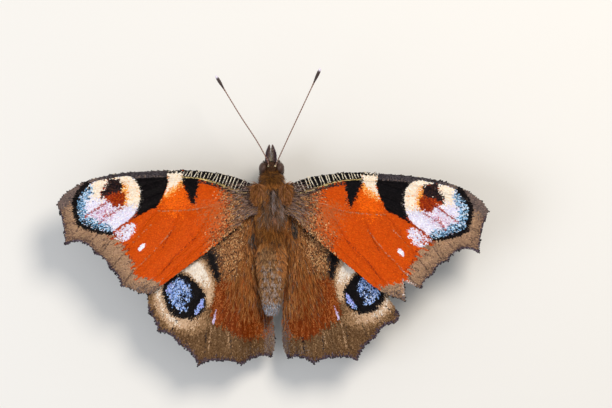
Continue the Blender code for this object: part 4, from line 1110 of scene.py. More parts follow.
def hindwing_upper(points, plan, draw):
    """Colour of the upper side at plan points of the left hindwing."""
    x, y = points.T
    edge = nearest(plan["margin"], points)[0]
    rag = ripple(points, 0.7, 21) * 0.1
    fray = ripple(points, 0.3, 28) * 0.07
    root = (2.6, -1.0)
    jag = streaked(points, root, 22)
    marks = Markings(len(points), HIND_TAUPE, draw)
    marks.lay(smooth_step(y, 17.4, 18.8) * smooth_step(x, 4.5, 2.5) * 0.7, HIND_GREY)
    streak = smooth_step(streaked(points, root, 29, 0.35, 1.0), 0.2, 0.8)
    marks.lay(streak * 0.25, FAWN)

    # Pale ring round the eyespot
    ring = depth_in(HIND_SPOT, points) + rag * 0.6 + fray
    outward = smooth_step(x + 0.25 * (y - 11), 9.6, 12.4)
    marks.lay(smooth_step(ring + jag * 0.4, -2.6, -1.5) * smooth_step(x + 0.3 * y, 12.0, 13.6) * 0.85, FAWN)
    marks.lay(smooth_step(ring + jag * 0.4, -1.7, -1.1) * outward * 0.95, TAN)
    pale = band(np.abs(ring + 0.7), 0.25, 0.5) * smooth_step(x, 11.0, 13.5)
    marks.lay(pale * 0.55, HIND_CREAM)
    dark_side = smooth_step(ring + jag * 0.5, -1.5, -2.2) * smooth_step(edge, 1.1, 0.7)
    marks.lay(dark_side * 0.6, HIND_TAUPE)

    # Rust field and the dusted base
    rust = depth_in(HIND_RUST_FIELD, points) + jag * 0.9
    marks.lay(smooth_step(rust, -0.35, 0.45), RUST)
    lighter = smooth_step(streaked(points, root, 23, 0.5, 1.0), 0.0, 0.6)
    lighter = np.maximum(lighter, smooth_step(x, 5.6, 7.4))
    marks.lay(smooth_step(rust, -0.2, 0.5) * lighter * 0.55, RUST_LIGHT)
    base = smooth_step(y + 0.25 * x + ripple(points, 2.5, 24) * 0.5, 12.0, 8.2)
    marks.lay(base * smooth_step(x, 9.0, 7.9) * 0.85, HAIR_BROWN)
    dust = smooth_step(y + ripple(points, 1.6, 25) * 0.7, 9.0, 6.2) * smooth_step(x, 8.8, 7.4)
    marks.lay(dust * 0.92, GOLD_DUST)
    orange_side = smooth_step(x, 2.8, 1.8) * smooth_step(y, 13.0, 14.0) * smooth_step(y, 17.0, 16.0)
    marks.lay(orange_side * 0.5, RUST_LIGHT)
    inner = smooth_step(x, 1.5, 0.5) * smooth_step(y, 12.5, 14.5)
    marks.lay(inner * 0.7, HIND_VIOLET)
    under_forewing = smooth_step(x - 1.05 * y, 2.6, 3.6) * smooth_step(y, 9.0, 8.0)
    marks.lay(under_forewing * smooth_step(ring, -0.3, -0.8), HIND_GREY)
    fold = x - np.interp(y, FOLD_LINE[:, 1], FOLD_LINE[:, 0])
    strip = smooth_step(fold, 0.1, -0.1) * smooth_step(y, 14.0, 12.0)
    marks.lay(strip * 0.8, HIND_GREY)
    marks.lay(band(np.abs(fold), 0.07, 0.1) * smooth_step(y, 13.5, 12.0) * 0.6, GREY_DUST)

    # Cream patch and black bar
    cream = depth_in(HIND_CREAM_PATCH, points) + rag * 0.5
    soft_bar = depth_in(HIND_BLACK_BAR, points) + jag * 0.3
    marks.lay(smooth_step(soft_bar, -1.3, -0.1) * smooth_step(y, 7.5, 5.6) * 0.75, SOOT)
    marks.lay(smooth_step(cream, -0.6, 0.1), FAWN)
    marks.lay(smooth_step(cream, -0.3, 0.3), TAN)
    fade = smooth_step(y + 0.3 * (10 - x), 11.2, 8.2)
    marks.lay(smooth_step(cream, 0.05, 0.55) * fade, HIND_CREAM)
    marks.lay(smooth_step(soft_bar, -0.45, 0.0) * 0.6, SOOT)
    marks.lay(smooth_step(soft_bar, -0.08, 0.15), BLACK)

    # Eyespot
    marks.lay(smooth_step(ring, -0.4, -0.05) * 0.55, SOOT)
    marks.lay(smooth_step(ring, -0.06, 0.06), BLACK)
    blue = depth_in(HIND_BLUE, points) + ripple(points, 0.5, 26) * 0.12
    marks.lay(smooth_step(blue, -0.12, 0.25) * 0.93, COBALT)
    lilac_side = smooth_step(x, 12.8, 13.8) * smooth_step(y, 11.5, 10.0)
    marks.lay(smooth_step(blue, 0.0, 0.3) * lilac_side * 0.5, VIOLET)
    heart = smooth_step(np.hypot(x - 11.9, (y - 11.2) * 0.8) + ripple(points, 0.5, 27) * 0.35, 0.9, 0.3)
    marks.lay(heart * 0.65, BLACK)
    wide = np.interp(nearest(HIND_BLUE_BAR, points)[1], [0, 0.6, 1], [0.14, 0.36, 0.2]) + rag
    bar = band(nearest(HIND_BLUE_BAR, points)[0] - wide + 0.2, 0.2, 0.12)
    marks.lay(bar * 0.93, VIOLET)
    marks.lay(bar * smooth_step(y, 11.8, 12.8) * 0.5, COBALT)

    # Streaks and margin
    for line, width in HIND_PALE_LINES:
        marks.lay(band(nearest(line, points)[0], width, 0.15) * 0.6, PALE_STREAK)
    for line, width in HIND_DARK_LINES:
        marks.lay(band(nearest(line, points)[0], width, 0.15) * 0.6, SOOT)
    dash, along = nearest(HIND_DASH, points)
    marks.lay(band(dash, 0.04 + 0.13 * along, 0.08) * 0.95, LILAC_DASH)
    marks.lay(smooth_step(edge + jag * 0.4, 0.7, 0.2) * 0.5, MARGIN)
    return marks.lay(smooth_step(edge + jag * 0.2, 0.28, 0.1), MARGIN).colours


UNDER_DARK = palette(_2a211d=5, _1e1815=4, _382c26=3, _46382f=1)
UNDER_LINE = palette(_120e0d=4, _1a1412=3)
UNDER_PALE = palette(_5a4a3e=4, _6c5a4a=3, _4a3c32=3)


def wing_under(points, plan, draw):
    """Colour of the under side: bark-like, sooty brown with fine wavy cross lines."""
    edge = nearest(plan["margin"], points)[0]
    front = nearest(plan["front"], points)[0]
    away = np.linalg.norm(points - (2.0, -3.0), axis=1)
    wavy = away + 0.25 * ripple(points, 2.0, 31) + 0.1 * ripple(points, 0.8, 32)
    marks = Markings(len(points), UNDER_DARK, draw)
    lines = smooth_step(np.sin(2 * math.pi * wavy / 0.8), 0.2, 0.8)
    marks.lay(lines * 0.7, UNDER_LINE)
    flecks = smooth_step(ripple(points, 0.9, 33), 0.7, 1.2)
    marks.lay(flecks * 0.6, UNDER_PALE)
    belt = band(np.abs(away - 15.5 - 0.5 * ripple(points, 3.0, 34)), 1.1, 0.8)
    marks.lay(belt * 0.45, UNDER_PALE)
    ticks = smooth_step(np.sin(2 * math.pi * points[:, 0] / 0.5), 0.2, 0.7) * smooth_step(front, 0.8, 0.5)
    marks.lay(ticks * 0.7, STRAW)
    return marks.lay(smooth_step(edge, 0.5, 0.1) * 0.8, UNDER_LINE).colours


# Wing membranes
# The clear skin of each wing is a tenth of a millimetre thick, with the tubular veins raised on
# both faces. It shows only between the scales, so it carries the same markings, without the grain.
MEMBRANE_THICKNESS = 0.1
VEIN_HALF_WIDTH = 0.16
VEIN_RISE = 0.09
PLEAT_DEPTH = 0.1
MEMBRANE_SPACING = 0.34


def relief(plan, points):
    """Rise of the veins over the membrane, and the pleat of the membrane between them."""
    gaps = np.array([nearest(vein, points)[0] for vein in plan["veins"]])
    gap = gaps.min(0)
    rise = VEIN_RISE * np.cos(np.clip(gap / VEIN_HALF_WIDTH, 0, 1) * math.pi / 2)
    rise *= smooth_step(nearest(plan["margin"], points)[0], 0.0, 0.5)
    return rise, -PLEAT_DEPTH * smooth_step(gap, 0.1, 1.3)


def wing_surface(kind, side, plan, points, lift):
    """Points of a wing in the body's frame; lift is the height over the middle surface."""
    placed = place_on(kind, side, points)
    rise, pleat = relief(plan, points)
    height = wing_height(kind, placed) + pleat + lift * (1 + rise / (MEMBRANE_THICKNESS / 2))
    across = placed[:, 0] * (1 if side == "L" else -1)
    return np.stack([across, placed[:, 1], height], axis=1)


def membrane(kind, side, plan, upper, material):
    points, edges = [], []

    def add_run(run, closed):
        first = len(points)
        points.extend(map(tuple, run))
        count = len(run)
        edges.extend((first + i, first + (i + 1) % count) for i in range(count if closed else count - 1))

    outline = plan["outline"]
    add_run(outline, True)
    for vein in plan["veins"]:
        fine = smooth_run(vein, 2)
        add_run(fine[:-3], False)
        ahead = np.gradient(fine, axis=0)
        ahead /= np.linalg.norm(ahead, axis=1)[:, None]
        beside = np.stack([-ahead[:, 1], ahead[:, 0]], axis=1) * VEIN_HALF_WIDTH
        add_run((fine + beside)[1:-5], False)
        add_run((fine - beside)[1:-5], False)
    low, high = outline.min(0), outline.max(0)
    columns = np.arange(low[0], high[0], MEMBRANE_SPACING)
    rows = np.arange(low[1], high[1], MEMBRANE_SPACING * 0.87)
    grid = np.array([
        (cx + 0.5 * MEMBRANE_SPACING * (i % 2), cy) for i, cy in enumerate(rows) for cx in columns
    ])
    closed = np.vstack([outline, outline[:1]])
    clear = inside(outline, grid) & (nearest(closed, grid)[0] > 0.16)
    veins = np.array([nearest(vein, grid)[0] for vein in plan["veins"]]).min(0)
    grid = grid[clear & (np.abs(veins - VEIN_HALF_WIDTH) > 0.1) & (veins > 0.1)]
    points.extend(map(tuple, grid))
    found, _, triangles, _, _, _ = geometry.delaunay_2d_cdt(
        points, edges, [list(range(len(outline)))], 1, 1e-5
    )
    flat = np.array([tuple(p) for p in found])
    count = len(flat)
    top = wing_surface(kind, side, plan, flat, MEMBRANE_THICKNESS / 2)
    bottom = wing_surface(kind, side, plan, flat, -MEMBRANE_THICKNESS / 2)
    flip = side == "R"
    faces, rims = [], set()
    for a, b, c in triangles:
        if flip:
            a, c = c, a
        faces.append((a, b, c))
        faces.append((c + count, b + count, a + count))
        rims.update(((a, b), (b, c), (c, a)))
    for a, b in rims:
        if (b, a) not in rims:
            faces.append((b, a, a + count, b + count))
    colours = np.vstack([upper(flat, plan, None), wing_under(flat, plan, None)])
    return new_piece(f"membrane_{kind}_{side}", np.vstack([top, bottom]), faces, material, colours)


PLANS = {}
PAINTERS = {"forewing": forewing_upper, "hindwing": hindwing_upper}
# Clear, dry chitin with a low shine, seen only as the dark between the scales.
clear_skin = painted_material("wing_membrane_chitin", 0.6, 0.11, 0.03, 0.15, 0.1)
for side in ("L", "R"):
    for kind, plan_of in (("forewing", forewing_plan), ("hindwing", hindwing_plan)):
        plan = plan_of(side)
        PLANS[kind, side] = plan
        piece = membrane(kind, side, plan, PAINTERS[kind], clear_skin)
        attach(piece, "root")
        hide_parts(f"{kind}_{side}")


# Wing scales
# Each scale is a flat chitin plate on a short stalk, set in the membrane like a roof tile, its
# free end to the wing's margin. Real ones are 0.08 by 0.2 mm, and these are half as wide again.
def scale_shape(name, lifted, arched):
    """One closed scale, pointing along +Y: a stalk, two shoulders, two corners and a keel."""
    corners = [
        (0.0, 0.0, -0.15), (-0.38, 0.35, 0.28 * lifted + arched), (0.38, 0.35, 0.28 * lifted + arched),
        (-0.5, 1.0, lifted), (0.5, 1.0, lifted), (0.0, 0.6, -0.15),
    ]
    faces = [(0, 2, 1), (1, 2, 4, 3), (5, 2, 0), (5, 0, 1), (5, 1, 3), (5, 3, 4), (5, 4, 2)]
    mesh = bpy.data.meshes.new(name)
    mesh.from_pydata(corners, [], faces)
    patch = mesh.uv_layers.new(name="OFBake")
    for loop in mesh.loops:
        x, y, _ = corners[loop.vertex_index]
        patch.data[loop.index].uv = (x * 0.5 + 0.5, y)
    mesh.update()
    return bpy.data.objects.new(name, mesh)


BAKE_PATCH = 0.003


def planting_tree():
    """Geometry nodes that set a small shape on every point, along its lie, and join the result."""
    tree = bpy.data.node_groups.new("plant_on_points", "GeometryNodeTree")
    for name, kind in (
        ("Geometry", "NodeSocketGeometry"), ("Shape", "NodeSocketObject"),
        ("Bake patch", "NodeSocketFloat"), ("Finish", "NodeSocketMaterial"),
    ):
        tree.interface.new_socket(name, in_out="INPUT", socket_type=kind)
    tree.interface.new_socket("Geometry", in_out="OUTPUT", socket_type="NodeSocketGeometry")
    given = add(tree, "NodeGroupInput")

    def attribute(name):
        node = add(tree, "GeometryNodeInputNamedAttribute", data_type="FLOAT_VECTOR")
        node.inputs["Name"].default_value = name
        return node.outputs["Attribute"]

    shape = add(tree, "GeometryNodeObjectInfo", {"Object": given.outputs["Shape"]})
    upright = add(tree, "FunctionNodeAlignRotationToVector", {"Vector": attribute("up")}, axis="Z")
    lying = add(tree, "FunctionNodeAlignRotationToVector", {
        "Rotation": upright.outputs["Rotation"], "Vector": attribute("lie"),
    }, axis="Y", pivot_axis="Z")
    planted = add(tree, "GeometryNodeInstanceOnPoints", {
        "Points": given.outputs["Geometry"], "Instance": shape.outputs["Geometry"],
        "Rotation": lying.outputs["Rotation"], "Scale": attribute("size"),
    })
    joined = add(tree, "GeometryNodeRealizeInstances", {"Geometry": planted.outputs["Instances"]})
    small = add(tree, "ShaderNodeVectorMath", {0: attribute("OFBake")}, operation="SCALE")
    tree.links.new(given.outputs["Bake patch"], small.inputs["Scale"])
    spot = add(tree, "ShaderNodeVectorMath", {0: small.outputs[0], 1: attribute("root")}, operation="ADD")
    stored = add(tree, "GeometryNodeStoreNamedAttribute", {
        "Geometry": joined.outputs["Geometry"], "Name": "OFBake", "Value": spot.outputs[0],
    }, data_type="FLOAT2", domain="CORNER")
    finished = add(tree, "GeometryNodeSetMaterial", {
        "Geometry": stored.outputs["Geometry"], "Material": given.outputs["Finish"],
    })
    add(tree, "NodeGroupOutput", {"Geometry": finished.outputs["Geometry"]})
    return tree


PLANTING = planting_tree()


def plant(name, shape, points, up, lie, size, colours, root, finish):
    """A plain mesh piece of one shape set on every point; sizes are in millimetres."""
    mesh = bpy.data.meshes.new(name + "_roots")
    mesh.vertices.add(len(points))
    mesh.vertices.foreach_set("co", (np.asarray(points) * MM + BODY_PLACE).ravel())
    roots = np.concatenate([root, np.zeros((len(root), 1))], axis=1)
    for label, values in (("up", up), ("lie", lie), ("size", np.asarray(size) * MM), ("root", roots)):
        layer = mesh.attributes.new(label, "FLOAT_VECTOR", "POINT")
        layer.data.foreach_set("vector", np.asarray(values, dtype=np.float32).ravel())
    layer = mesh.attributes.new("markings", "FLOAT_COLOR", "POINT")
    layer.data.foreach_set("color", with_alpha(colours).ravel())
    seedbed = bpy.data.objects.new(name + "_roots", mesh)
    bpy.context.scene.collection.objects.link(seedbed)
    planting = seedbed.modifiers.new("planting", "NODES")
    planting.node_group = PLANTING
    sockets = {item.name: item.identifier for item in PLANTING.interface.items_tree if item.in_out == "INPUT"}
    planting[sockets["Shape"]] = shape
    planting[sockets["Bake patch"]] = BAKE_PATCH
    planting[sockets["Finish"]] = finish
    graph = bpy.context.evaluated_depsgraph_get()
    made = bpy.data.meshes.new_from_object(seedbed.evaluated_get(graph), preserve_all_data_layers=True,
                                           depsgraph=graph)
    seedbed.modifiers.clear()
    bpy.data.objects.remove(seedbed)
    made.name = name
    for label in ("up", "lie", "size", "root"):
        made.attributes.remove(made.attributes[label])
    made.uv_layers["OFBake"].active_render = True
    piece = bpy.data.objects.new(name, made)
    bpy.context.scene.collection.objects.link(piece)
    return piece


def scale_material(name, roughness):
    """Dry, finely ridged chitin: matt, with only a faint shine."""
    material, tree, surface = new_material(name)
    tone = add(tree, "ShaderNodeAttribute", attribute_name="markings")
    place = add(tree, "ShaderNodeTexCoord")
    grain = add(tree, "ShaderNodeTexNoise", {"Vector": place.outputs["Object"], "Scale": 14000.0})
    bump = add(tree, "ShaderNodeBump", {"Strength": 0.3, "Distance": 0.00002, "Height": grain.outputs["Fac"]})
    plate = add(tree, "ShaderNodeBsdfPrincipled", {
        "Base Color": tone.outputs["Color"], "Roughness": roughness, "IOR": 1.56, "Specular IOR Level": 0.06,
        "Normal": bump.outputs["Normal"],
    })
    tree.links.new(plate.outputs[0], surface)
    return material


SCALE_ROW = {"upper": 0.15, "lower": 0.26}
SCALE_WIDTH = {"upper": 0.107, "lower": 0.19}
WING_BAKE_SPAN = 32.0
WING_ROOT = {"forewing": np.array([0.0, -4.6]), "hindwing": np.array([2.4, -2.0])}


def scale_rows(plan, root, row, width, draw):
    """Rows of scale roots on arcs about the wing's root, and the way that each scale points."""
    found = []
    reach = np.linalg.norm(plan["outline"] - root, axis=1).max()
    for radius in np.arange(0.8, reach, row):
        turns = np.arange(0, math.pi * 1.15, width / radius) + draw.uniform(0, width / radius)
        turns = turns - math.pi * 0.2 + draw.normal(0, 0.12 * width / radius, len(turns))
        radii = radius + draw.normal(0, 0.1 * row, len(turns))
        found.append(root + radii[:, None] * np.stack([np.cos(turns), np.sin(turns)], axis=1))
    points = np.vstack(found)
    points = points[inside(plan["outline"], points)]
    away = points - root
    return points, away / np.linalg.norm(away, axis=1)[:, None]


def wing_unwrap(points):
    return (points + (0, 7)) / WING_BAKE_SPAN


def on_wing(kind, side, plan, points, lie, face, above):
    """Places on one face of a wing, with the way up from it and the way that a scale points."""
    lift = face * MEMBRANE_THICKNESS / 2
    reach = 0.05
    spots = wing_surface(kind, side, plan, points, lift)
    ahead = wing_surface(kind, side, plan, points + lie * reach, lift) - spots
    beside = np.stack([-lie[:, 1], lie[:, 0]], axis=1) * reach
    beside = wing_surface(kind, side, plan, points + beside, lift) - spots
    up = np.cross(ahead, beside) * (1 if side == "L" else -1) * face
    up /= np.linalg.norm(up, axis=1)[:, None]
    ahead /= np.linalg.norm(ahead, axis=1)[:, None]
    return spots + up * above, up, ahead


def scales_on(kind, side, face, shape, finish, seed):
    draw = np.random.default_rng(seed)
    plan = PLANS[kind, side]
    points, lie = scale_rows(plan, WING_ROOT[kind], SCALE_ROW[face], SCALE_WIDTH[face], draw)
    count = len(points)
    turn = draw.normal(0, 0.16, count)
    dusty = smooth_step(points[:, 0], 8.5, 5.0) if kind == "forewing" else smooth_step(points[:, 1], 9.0, 6.0)
    turn = turn * (1 + 2.2 * dusty)
    lie = np.stack([
        lie[:, 0] * np.cos(turn) - lie[:, 1] * np.sin(turn),
        lie[:, 0] * np.sin(turn) + lie[:, 1] * np.cos(turn),
    ], axis=1)
    spots, up, ahead = on_wing(kind, side, plan, points, lie, 1 if face == "upper" else -1, 0.0)
    width = SCALE_WIDTH[face] * draw.uniform(1.0, 1.35, count) * (1 - 0.2 * dusty)
    length = SCALE_ROW[face] * draw.uniform(1.35, 1.75, count)
    size = np.stack([width, length, length * draw.uniform(0.7, 1.3, count)], axis=1)
    paint = PAINTERS[kind] if face == "upper" else wing_under
    colours = paint(points, plan, draw) * draw.uniform(0.86, 1.1, count)[:, None]
    return plant(f"scales_{kind}_{side}_{face}", shape, spots, up, ahead, size, colours.clip(0, 1),
                 wing_unwrap(points), finish)


scale = scale_shape("scale", 0.3, 0.04)
matt_scales = scale_material("wing_scale_chitin", 0.55)
for index, (kind, side) in enumerate(PLANS):
    for face in ("upper", "lower"):
        piece = scales_on(kind, side, face, scale, matt_scales, 100 + 10 * index + (face == "lower"))
        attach(piece, "root")


# Costal streaks
# Rows of narrow cream scales stand slantwise on the black scales of the leading edge, where it is
# thickest. They make the comb of fine pale lines between the shoulder and the first black patch.
STREAK_SPACING = 0.42
STREAK_SLANT = 0.6
STREAK_STEP = 0.12
STREAK_COLUMNS = (-0.028, 0.028)


def costal_streaks(side, shape, finish, seed):
    draw = np.random.default_rng(seed)
    plan = PLANS["forewing", side]
    front = plan["front"]
    roots, lies = [], []
    for start in np.arange(2.9, 13.3, STREAK_SPACING):
        start += draw.normal(0, 0.04)
        slant = STREAK_SLANT * draw.uniform(0.5, 1.15)
        foot = np.interp(start, STRAW_VEIN[::-1, 0], STRAW_VEIN[::-1, 1]) - 0.08
        edge = np.interp(start - 0.3, front[:, 0], front[:, 1]) + draw.uniform(0.02, 0.14)
        for y in np.arange(foot, edge + STREAK_STEP, -STREAK_STEP):
            for column in STREAK_COLUMNS:
                if draw.random() < 0.93:
                    roots.append((start + slant * (y - foot) + column, y))
                    lies.append((-slant, -1.0))
    roots, lies = np.array(roots), np.array(lies) + draw.normal(0, 0.08, (len(roots), 2))
    clear = inside(plan["outline"], roots)
    roots, lies = roots[clear], lies[clear]
    lies /= np.linalg.norm(lies, axis=1)[:, None]
    spots, up, ahead = on_wing("forewing", side, plan, roots, lies, 1, 0.035)
    count = len(roots)
    size = np.stack([
        draw.uniform(0.07, 0.1, count), draw.uniform(0.16, 0.22, count), np.full(count, 0.12),
    ], axis=1)
    marks = Markings(count, STRAW, draw).lay(smooth_step(roots[:, 0], 5.2, 3.2) * 0.7, GREY_DUST)
    return plant(f"costal_streaks_{side}", shape, spots, up, ahead, size, marks.colours,
                 wing_unwrap(roots), finish)


for index, side in enumerate(("L", "R")):
    piece = costal_streaks(side, scale, matt_scales, 150 + index)
    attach(piece, "root")


# Wing fringes
# Long narrow scales stand out from the wing's edge in two rows, one from each face. They are
# worn and uneven, dark at the ends of the veins and paler in the hollows.
FRINGE_SPACING = 0.075
FRINGE_INSET = 0.26
FRINGE = palette(_4a4046=3, _342c2c=4, _6e6470=2, _241e1e=3)
FRINGE_PALE = palette(_8a7a72=3, _6e6470=3, _9c8c80=1)


def fringe(kind, side, shape, finish, seed):
    draw = np.random.default_rng(seed)
    plan = PLANS[kind, side]
    margin = plan["margin"]
    steps = np.linalg.norm(np.diff(margin, axis=0), axis=1)
    length = np.concatenate([[0], np.cumsum(steps)])
    spots, ups, aheads, colours, roots = [], [], [], [], []
    for face in (1, -1):
        along = np.arange(0.05, length[-1] - 0.05, FRINGE_SPACING)
        along = along + draw.normal(0, 0.02, len(along))
        along = along[draw.random(len(along)) < 0.85]
        edge, later, sooner = (
            np.stack([np.interp(along + shift, length, margin[:, i]) for i in (0, 1)], axis=1)
            for shift in (0, 0.25, -0.25)
        )
        run = later - sooner
        run /= np.linalg.norm(run, axis=1)[:, None]
        out = np.stack([run[:, 1], -run[:, 0]], axis=1)
        if inside(plan["outline"], edge[:1] + out[:1] * 0.2)[0]:
            out = -out
        left = nearest(plan["whole"], edge)[0] < 0.8
        edge, out = edge[left], out[left]
        base = edge - out * (FRINGE_INSET + draw.uniform(-0.06, 0.06, len(edge)))[:, None]
        lie = out + draw.normal(0, 0.22, out.shape)
        lie /= np.linalg.norm(lie, axis=1)[:, None]
        spot, up, ahead = on_wing(kind, side, plan, base, lie, face, 0.0)
        spots.append(spot)
        ups.append(up)
        aheads.append(ahead)
        roots.append(wing_unwrap(base))
        tooth = np.min([np.linalg.norm(edge - end, axis=1) for end in plan["teeth"]], axis=0)
        marks = Markings(len(edge), FRINGE, draw)
        colours.append(marks.lay(smooth_step(tooth, 0.8, 1.6) * 0.35, FRINGE_PALE).colours)
    spots, ups, aheads, colours, roots = map(np.vstack, (spots, ups, aheads, colours, roots))
    count = len(spots)
    size = np.stack([
        draw.uniform(0.07, 0.11, count), draw.uniform(0.3, 0.42, count), draw.uniform(0.05, 0.15, count),
    ], axis=1)
    return plant(f"fringe_{kind}_{side}", shape, spots, ups, aheads, size, colours, roots, finish)


for index, (kind, side) in enumerate(PLANS):
    piece = fringe(kind, side, scale, matt_scales, 160 + index)
    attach(piece, "root")


# Coat of the body
# Fine hairs, half to one and a half millimetres long, grow from the whole case and lie back over
# the wing roots. Towards the tail they turn short and flat, and more scale than hair.
BODY_BAKE = (2 * math.pi, 22.0)


def hair_shape(name, bend, girth, taper):
    """One closed three-sided hair along +Y, a unit long and wide, that arches by its bend."""
    corners = []
    for y, z, thick in ((0.0, 0.0, 1.0), (0.5, bend, taper)):
        for x, rise in ((-0.5, -0.5), (0.5, -0.5), (0.0, 0.5)):
            corners.append((x * thick, y, z + rise * girth * thick))
    corners.append((0.0, 1.0, bend * 0.8))
    faces = [(0, 1, 2), (3, 6, 4), (4, 6, 5), (5, 6, 3)]
    for side in range(3):
        after = (side + 1) % 3
        faces.append((side, after, after + 3, side + 3))
    mesh = bpy.data.meshes.new(name)
    mesh.from_pydata(corners, [], faces)
    hair = bmesh.new()
    hair.from_mesh(mesh)
    bmesh.ops.recalc_face_normals(hair, faces=hair.faces)
    hair.to_mesh(mesh)
    hair.free()
    patch = mesh.uv_layers.new(name="OFBake")
    for loop in mesh.loops:
        x, y, _ = corners[loop.vertex_index]
        patch.data[loop.index].uv = (x + 0.5, y)
    height = mesh.attributes.new("height", "FLOAT", "POINT")
    height.data.foreach_set("value", [corner[1] for corner in corners])
    mesh.update()
    return bpy.data.objects.new(name, mesh)


def hair_material(name, roughness, specular, painted_root_shade, painted_tip_light):
    """Hair in the markings' colours, with painted shade at its root and painted light towards its tip."""
    material, tree, surface = new_material(name)
    tone = add(tree, "ShaderNodeAttribute", attribute_name="markings")
    height = add(tree, "ShaderNodeAttribute", attribute_name="height")
    # Painted shade and light: the colour is scaled from a darker share at the root to a brighter share at the
    # tip.
    level = add(tree, "ShaderNodeMapRange", {
        "Value": height.outputs["Fac"], "To Min": painted_root_shade, "To Max": painted_tip_light,
    })
    toned = add(tree, "ShaderNodeVectorMath", {0: tone.outputs["Color"]}, operation="SCALE")
    tree.links.new(level.outputs["Result"], toned.inputs["Scale"])
    strand = add(tree, "ShaderNodeBsdfPrincipled", {
        "Base Color": toned.outputs[0], "Roughness": roughness, "IOR": 1.55, "Specular IOR Level": specular,
    })
    tree.links.new(strand.outputs[0], surface)
    return material


def grow(name, points, normals, lie, length, width, rise, tousle, colours, root, shape, finish, draw):
    """Plants hairs that lie along the skin, raised from it by an angle, a little tousled."""
    count = len(points)
    lie = lie + tousle * draw.normal(size=(count, 3))
    lie = lie - normals * (lie * normals).sum(1)[:, None]
    lie /= np.linalg.norm(lie, axis=1)[:, None]
    lift = (rise * draw.uniform(0.5, 1.5, count))[:, None]
    up = normals * np.cos(lift) - lie * np.sin(lift)
    ahead = lie * np.cos(lift) + normals * np.sin(lift)
    length = length * draw.uniform(0.75, 1.25, count)
    size = np.stack([width * draw.uniform(0.75, 1.25, count), length, length], axis=1)
    colours = colours * draw.uniform(0.8, 1.15, count)[:, None]
    piece = plant(name, shape, points, up, ahead, size, colours.clip(0, 1), root, finish)
    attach(piece, "root")
    return piece


def on_body(count, span, draw, top=0.6):
    """Roots spread evenly over the skin between two stations, denser on the back."""
    tries = count * 6
    y = draw.uniform(*span, tries)
    angle = draw.uniform(-math.pi, math.pi, tries)
    girth = np.interp(y, BODY_PROFILE[:, 0], BODY_PROFILE[:, 2])
    keep = draw.random(tries) < girth / girth.max() * (top + (1 - top) * np.sin(angle))
    y, angle = y[keep][:count], angle[keep][:count]
    points = body_point(y, angle)
    about = body_point(y, angle + 0.02) - points
    along = body_point(y + 0.05, angle) - points
    normals = np.cross(about, along)
    normals /= np.linalg.norm(normals, axis=1)[:, None]
    normals *= np.sign((normals * (points - body_point(y, angle + math.pi))).sum(1))[:, None]
    root = np.stack([angle / BODY_BAKE[0] + 0.5, (y + 8) / BODY_BAKE[1]], axis=1)
    return points, normals, root


fine_hair = hair_shape("fine_hair", 0.12, 0.035, 0.8)
flat_hair = hair_shape("flat_hair", 0.1, 0.06, 1.15)
# Dry, matt hair with a soft shine along each strand, gold in the light and dark between. Each hair's colour
# is painted darker at its root, as shade deep in the coat, and lighter at its tip, as light on the coat's
# surface.
downy_hair = hair_material("downy_hair", 0.55, 0.15, 0.7, 1.9)

draw = np.random.default_rng(201)
points, normals, root = on_body(11000, (-5.75, 4.3), draw)
y = points[:, 1]
outward = points[:, 0] / np.interp(y, BODY_PROFILE[:, 0], BODY_PROFILE[:, 2])
outward = np.sign(outward) * smooth_step(np.abs(outward), 0.15, 0.9)
spread = np.interp(y, [-5.7, -5.0, -4.0, 1.0, 2.5, 4.3], [1.5, 0.9, 0.5, 0.7, 0.45, 0.3])
back = np.interp(y, [-5.7, -5.2, -4.4], [-0.4, 0.3, 1.0])
lie = np.stack([
    spread * outward + 0.3 * ripple(points, 1.6, 203), back, 0.3 * ripple(points, 1.6, 204),
], axis=1)
length = np.interp(y, [-5.7, -5.2, -4.6, -3.0, 0.0, 3.0, 4.3], [0.9, 0.9, 0.75, 0.95, 1.15, 1.2, 0.9])
length *= np.where(normals[:, 2] < -0.2, 0.7, 1.0)
coat = grow("thorax_hair", points, normals, lie, length, 0.06, 0.22, 0.22, body_colour(points, draw), root,
            fine_hair, downy_hair, draw)

draw = np.random.default_rng(211)
points, normals, root = on_body(8000, (3.6, 13.4), draw)
y = points[:, 1]
flank = points[:, 0] / np.interp(y, BODY_PROFILE[:, 0], BODY_PROFILE[:, 2])
flank = np.sign(flank) * smooth_step(np.abs(flank), 0.6, 1.0) * smooth_step(y, 9.5, 6.0)
lie = np.stack([0.6 * flank + 0.15 * ripple(points, 1.5, 213), np.ones(len(y)), 0 * y], axis=1)
length = np.interp(y, [3.6, 5.0, 8.0, 13.4], [0.8, 0.6, 0.45, 0.36]) * (1 + np.abs(flank))
coat = grow("abdomen_hair", points, normals, lie, length, 0.09, 0.16, 0.15, body_colour(points, draw), root,
            flat_hair, downy_hair, draw)

draw = np.random.default_rng(221)
points, normals, root = on_body(2600, (-7.2, -5.45), draw)
sockets = np.abs(np.hypot(np.abs(points[:, 0]) - 0.45, points[:, 1] + 6.5)) < 0.2
clear = (np.abs(points[:, 0]) < 0.95) & ~(sockets & (normals[:, 2] > 0))
points, normals, root = points[clear], normals[clear], root[clear]
lie = np.stack([0.3 * ripple(points, 0.8, 223), -np.ones(len(points)), 0.6 + 0 * points[:, 0]], axis=1)
length = np.interp(points[:, 1], [-7.2, -6.6, -6.2, -5.6], [0.2, 0.22, 0.3, 0.4])
coat = grow("head_hair", points, normals, lie, length, 0.055, 0.45, 0.3, body_colour(points, draw), root,
            fine_hair, downy_hair, draw)


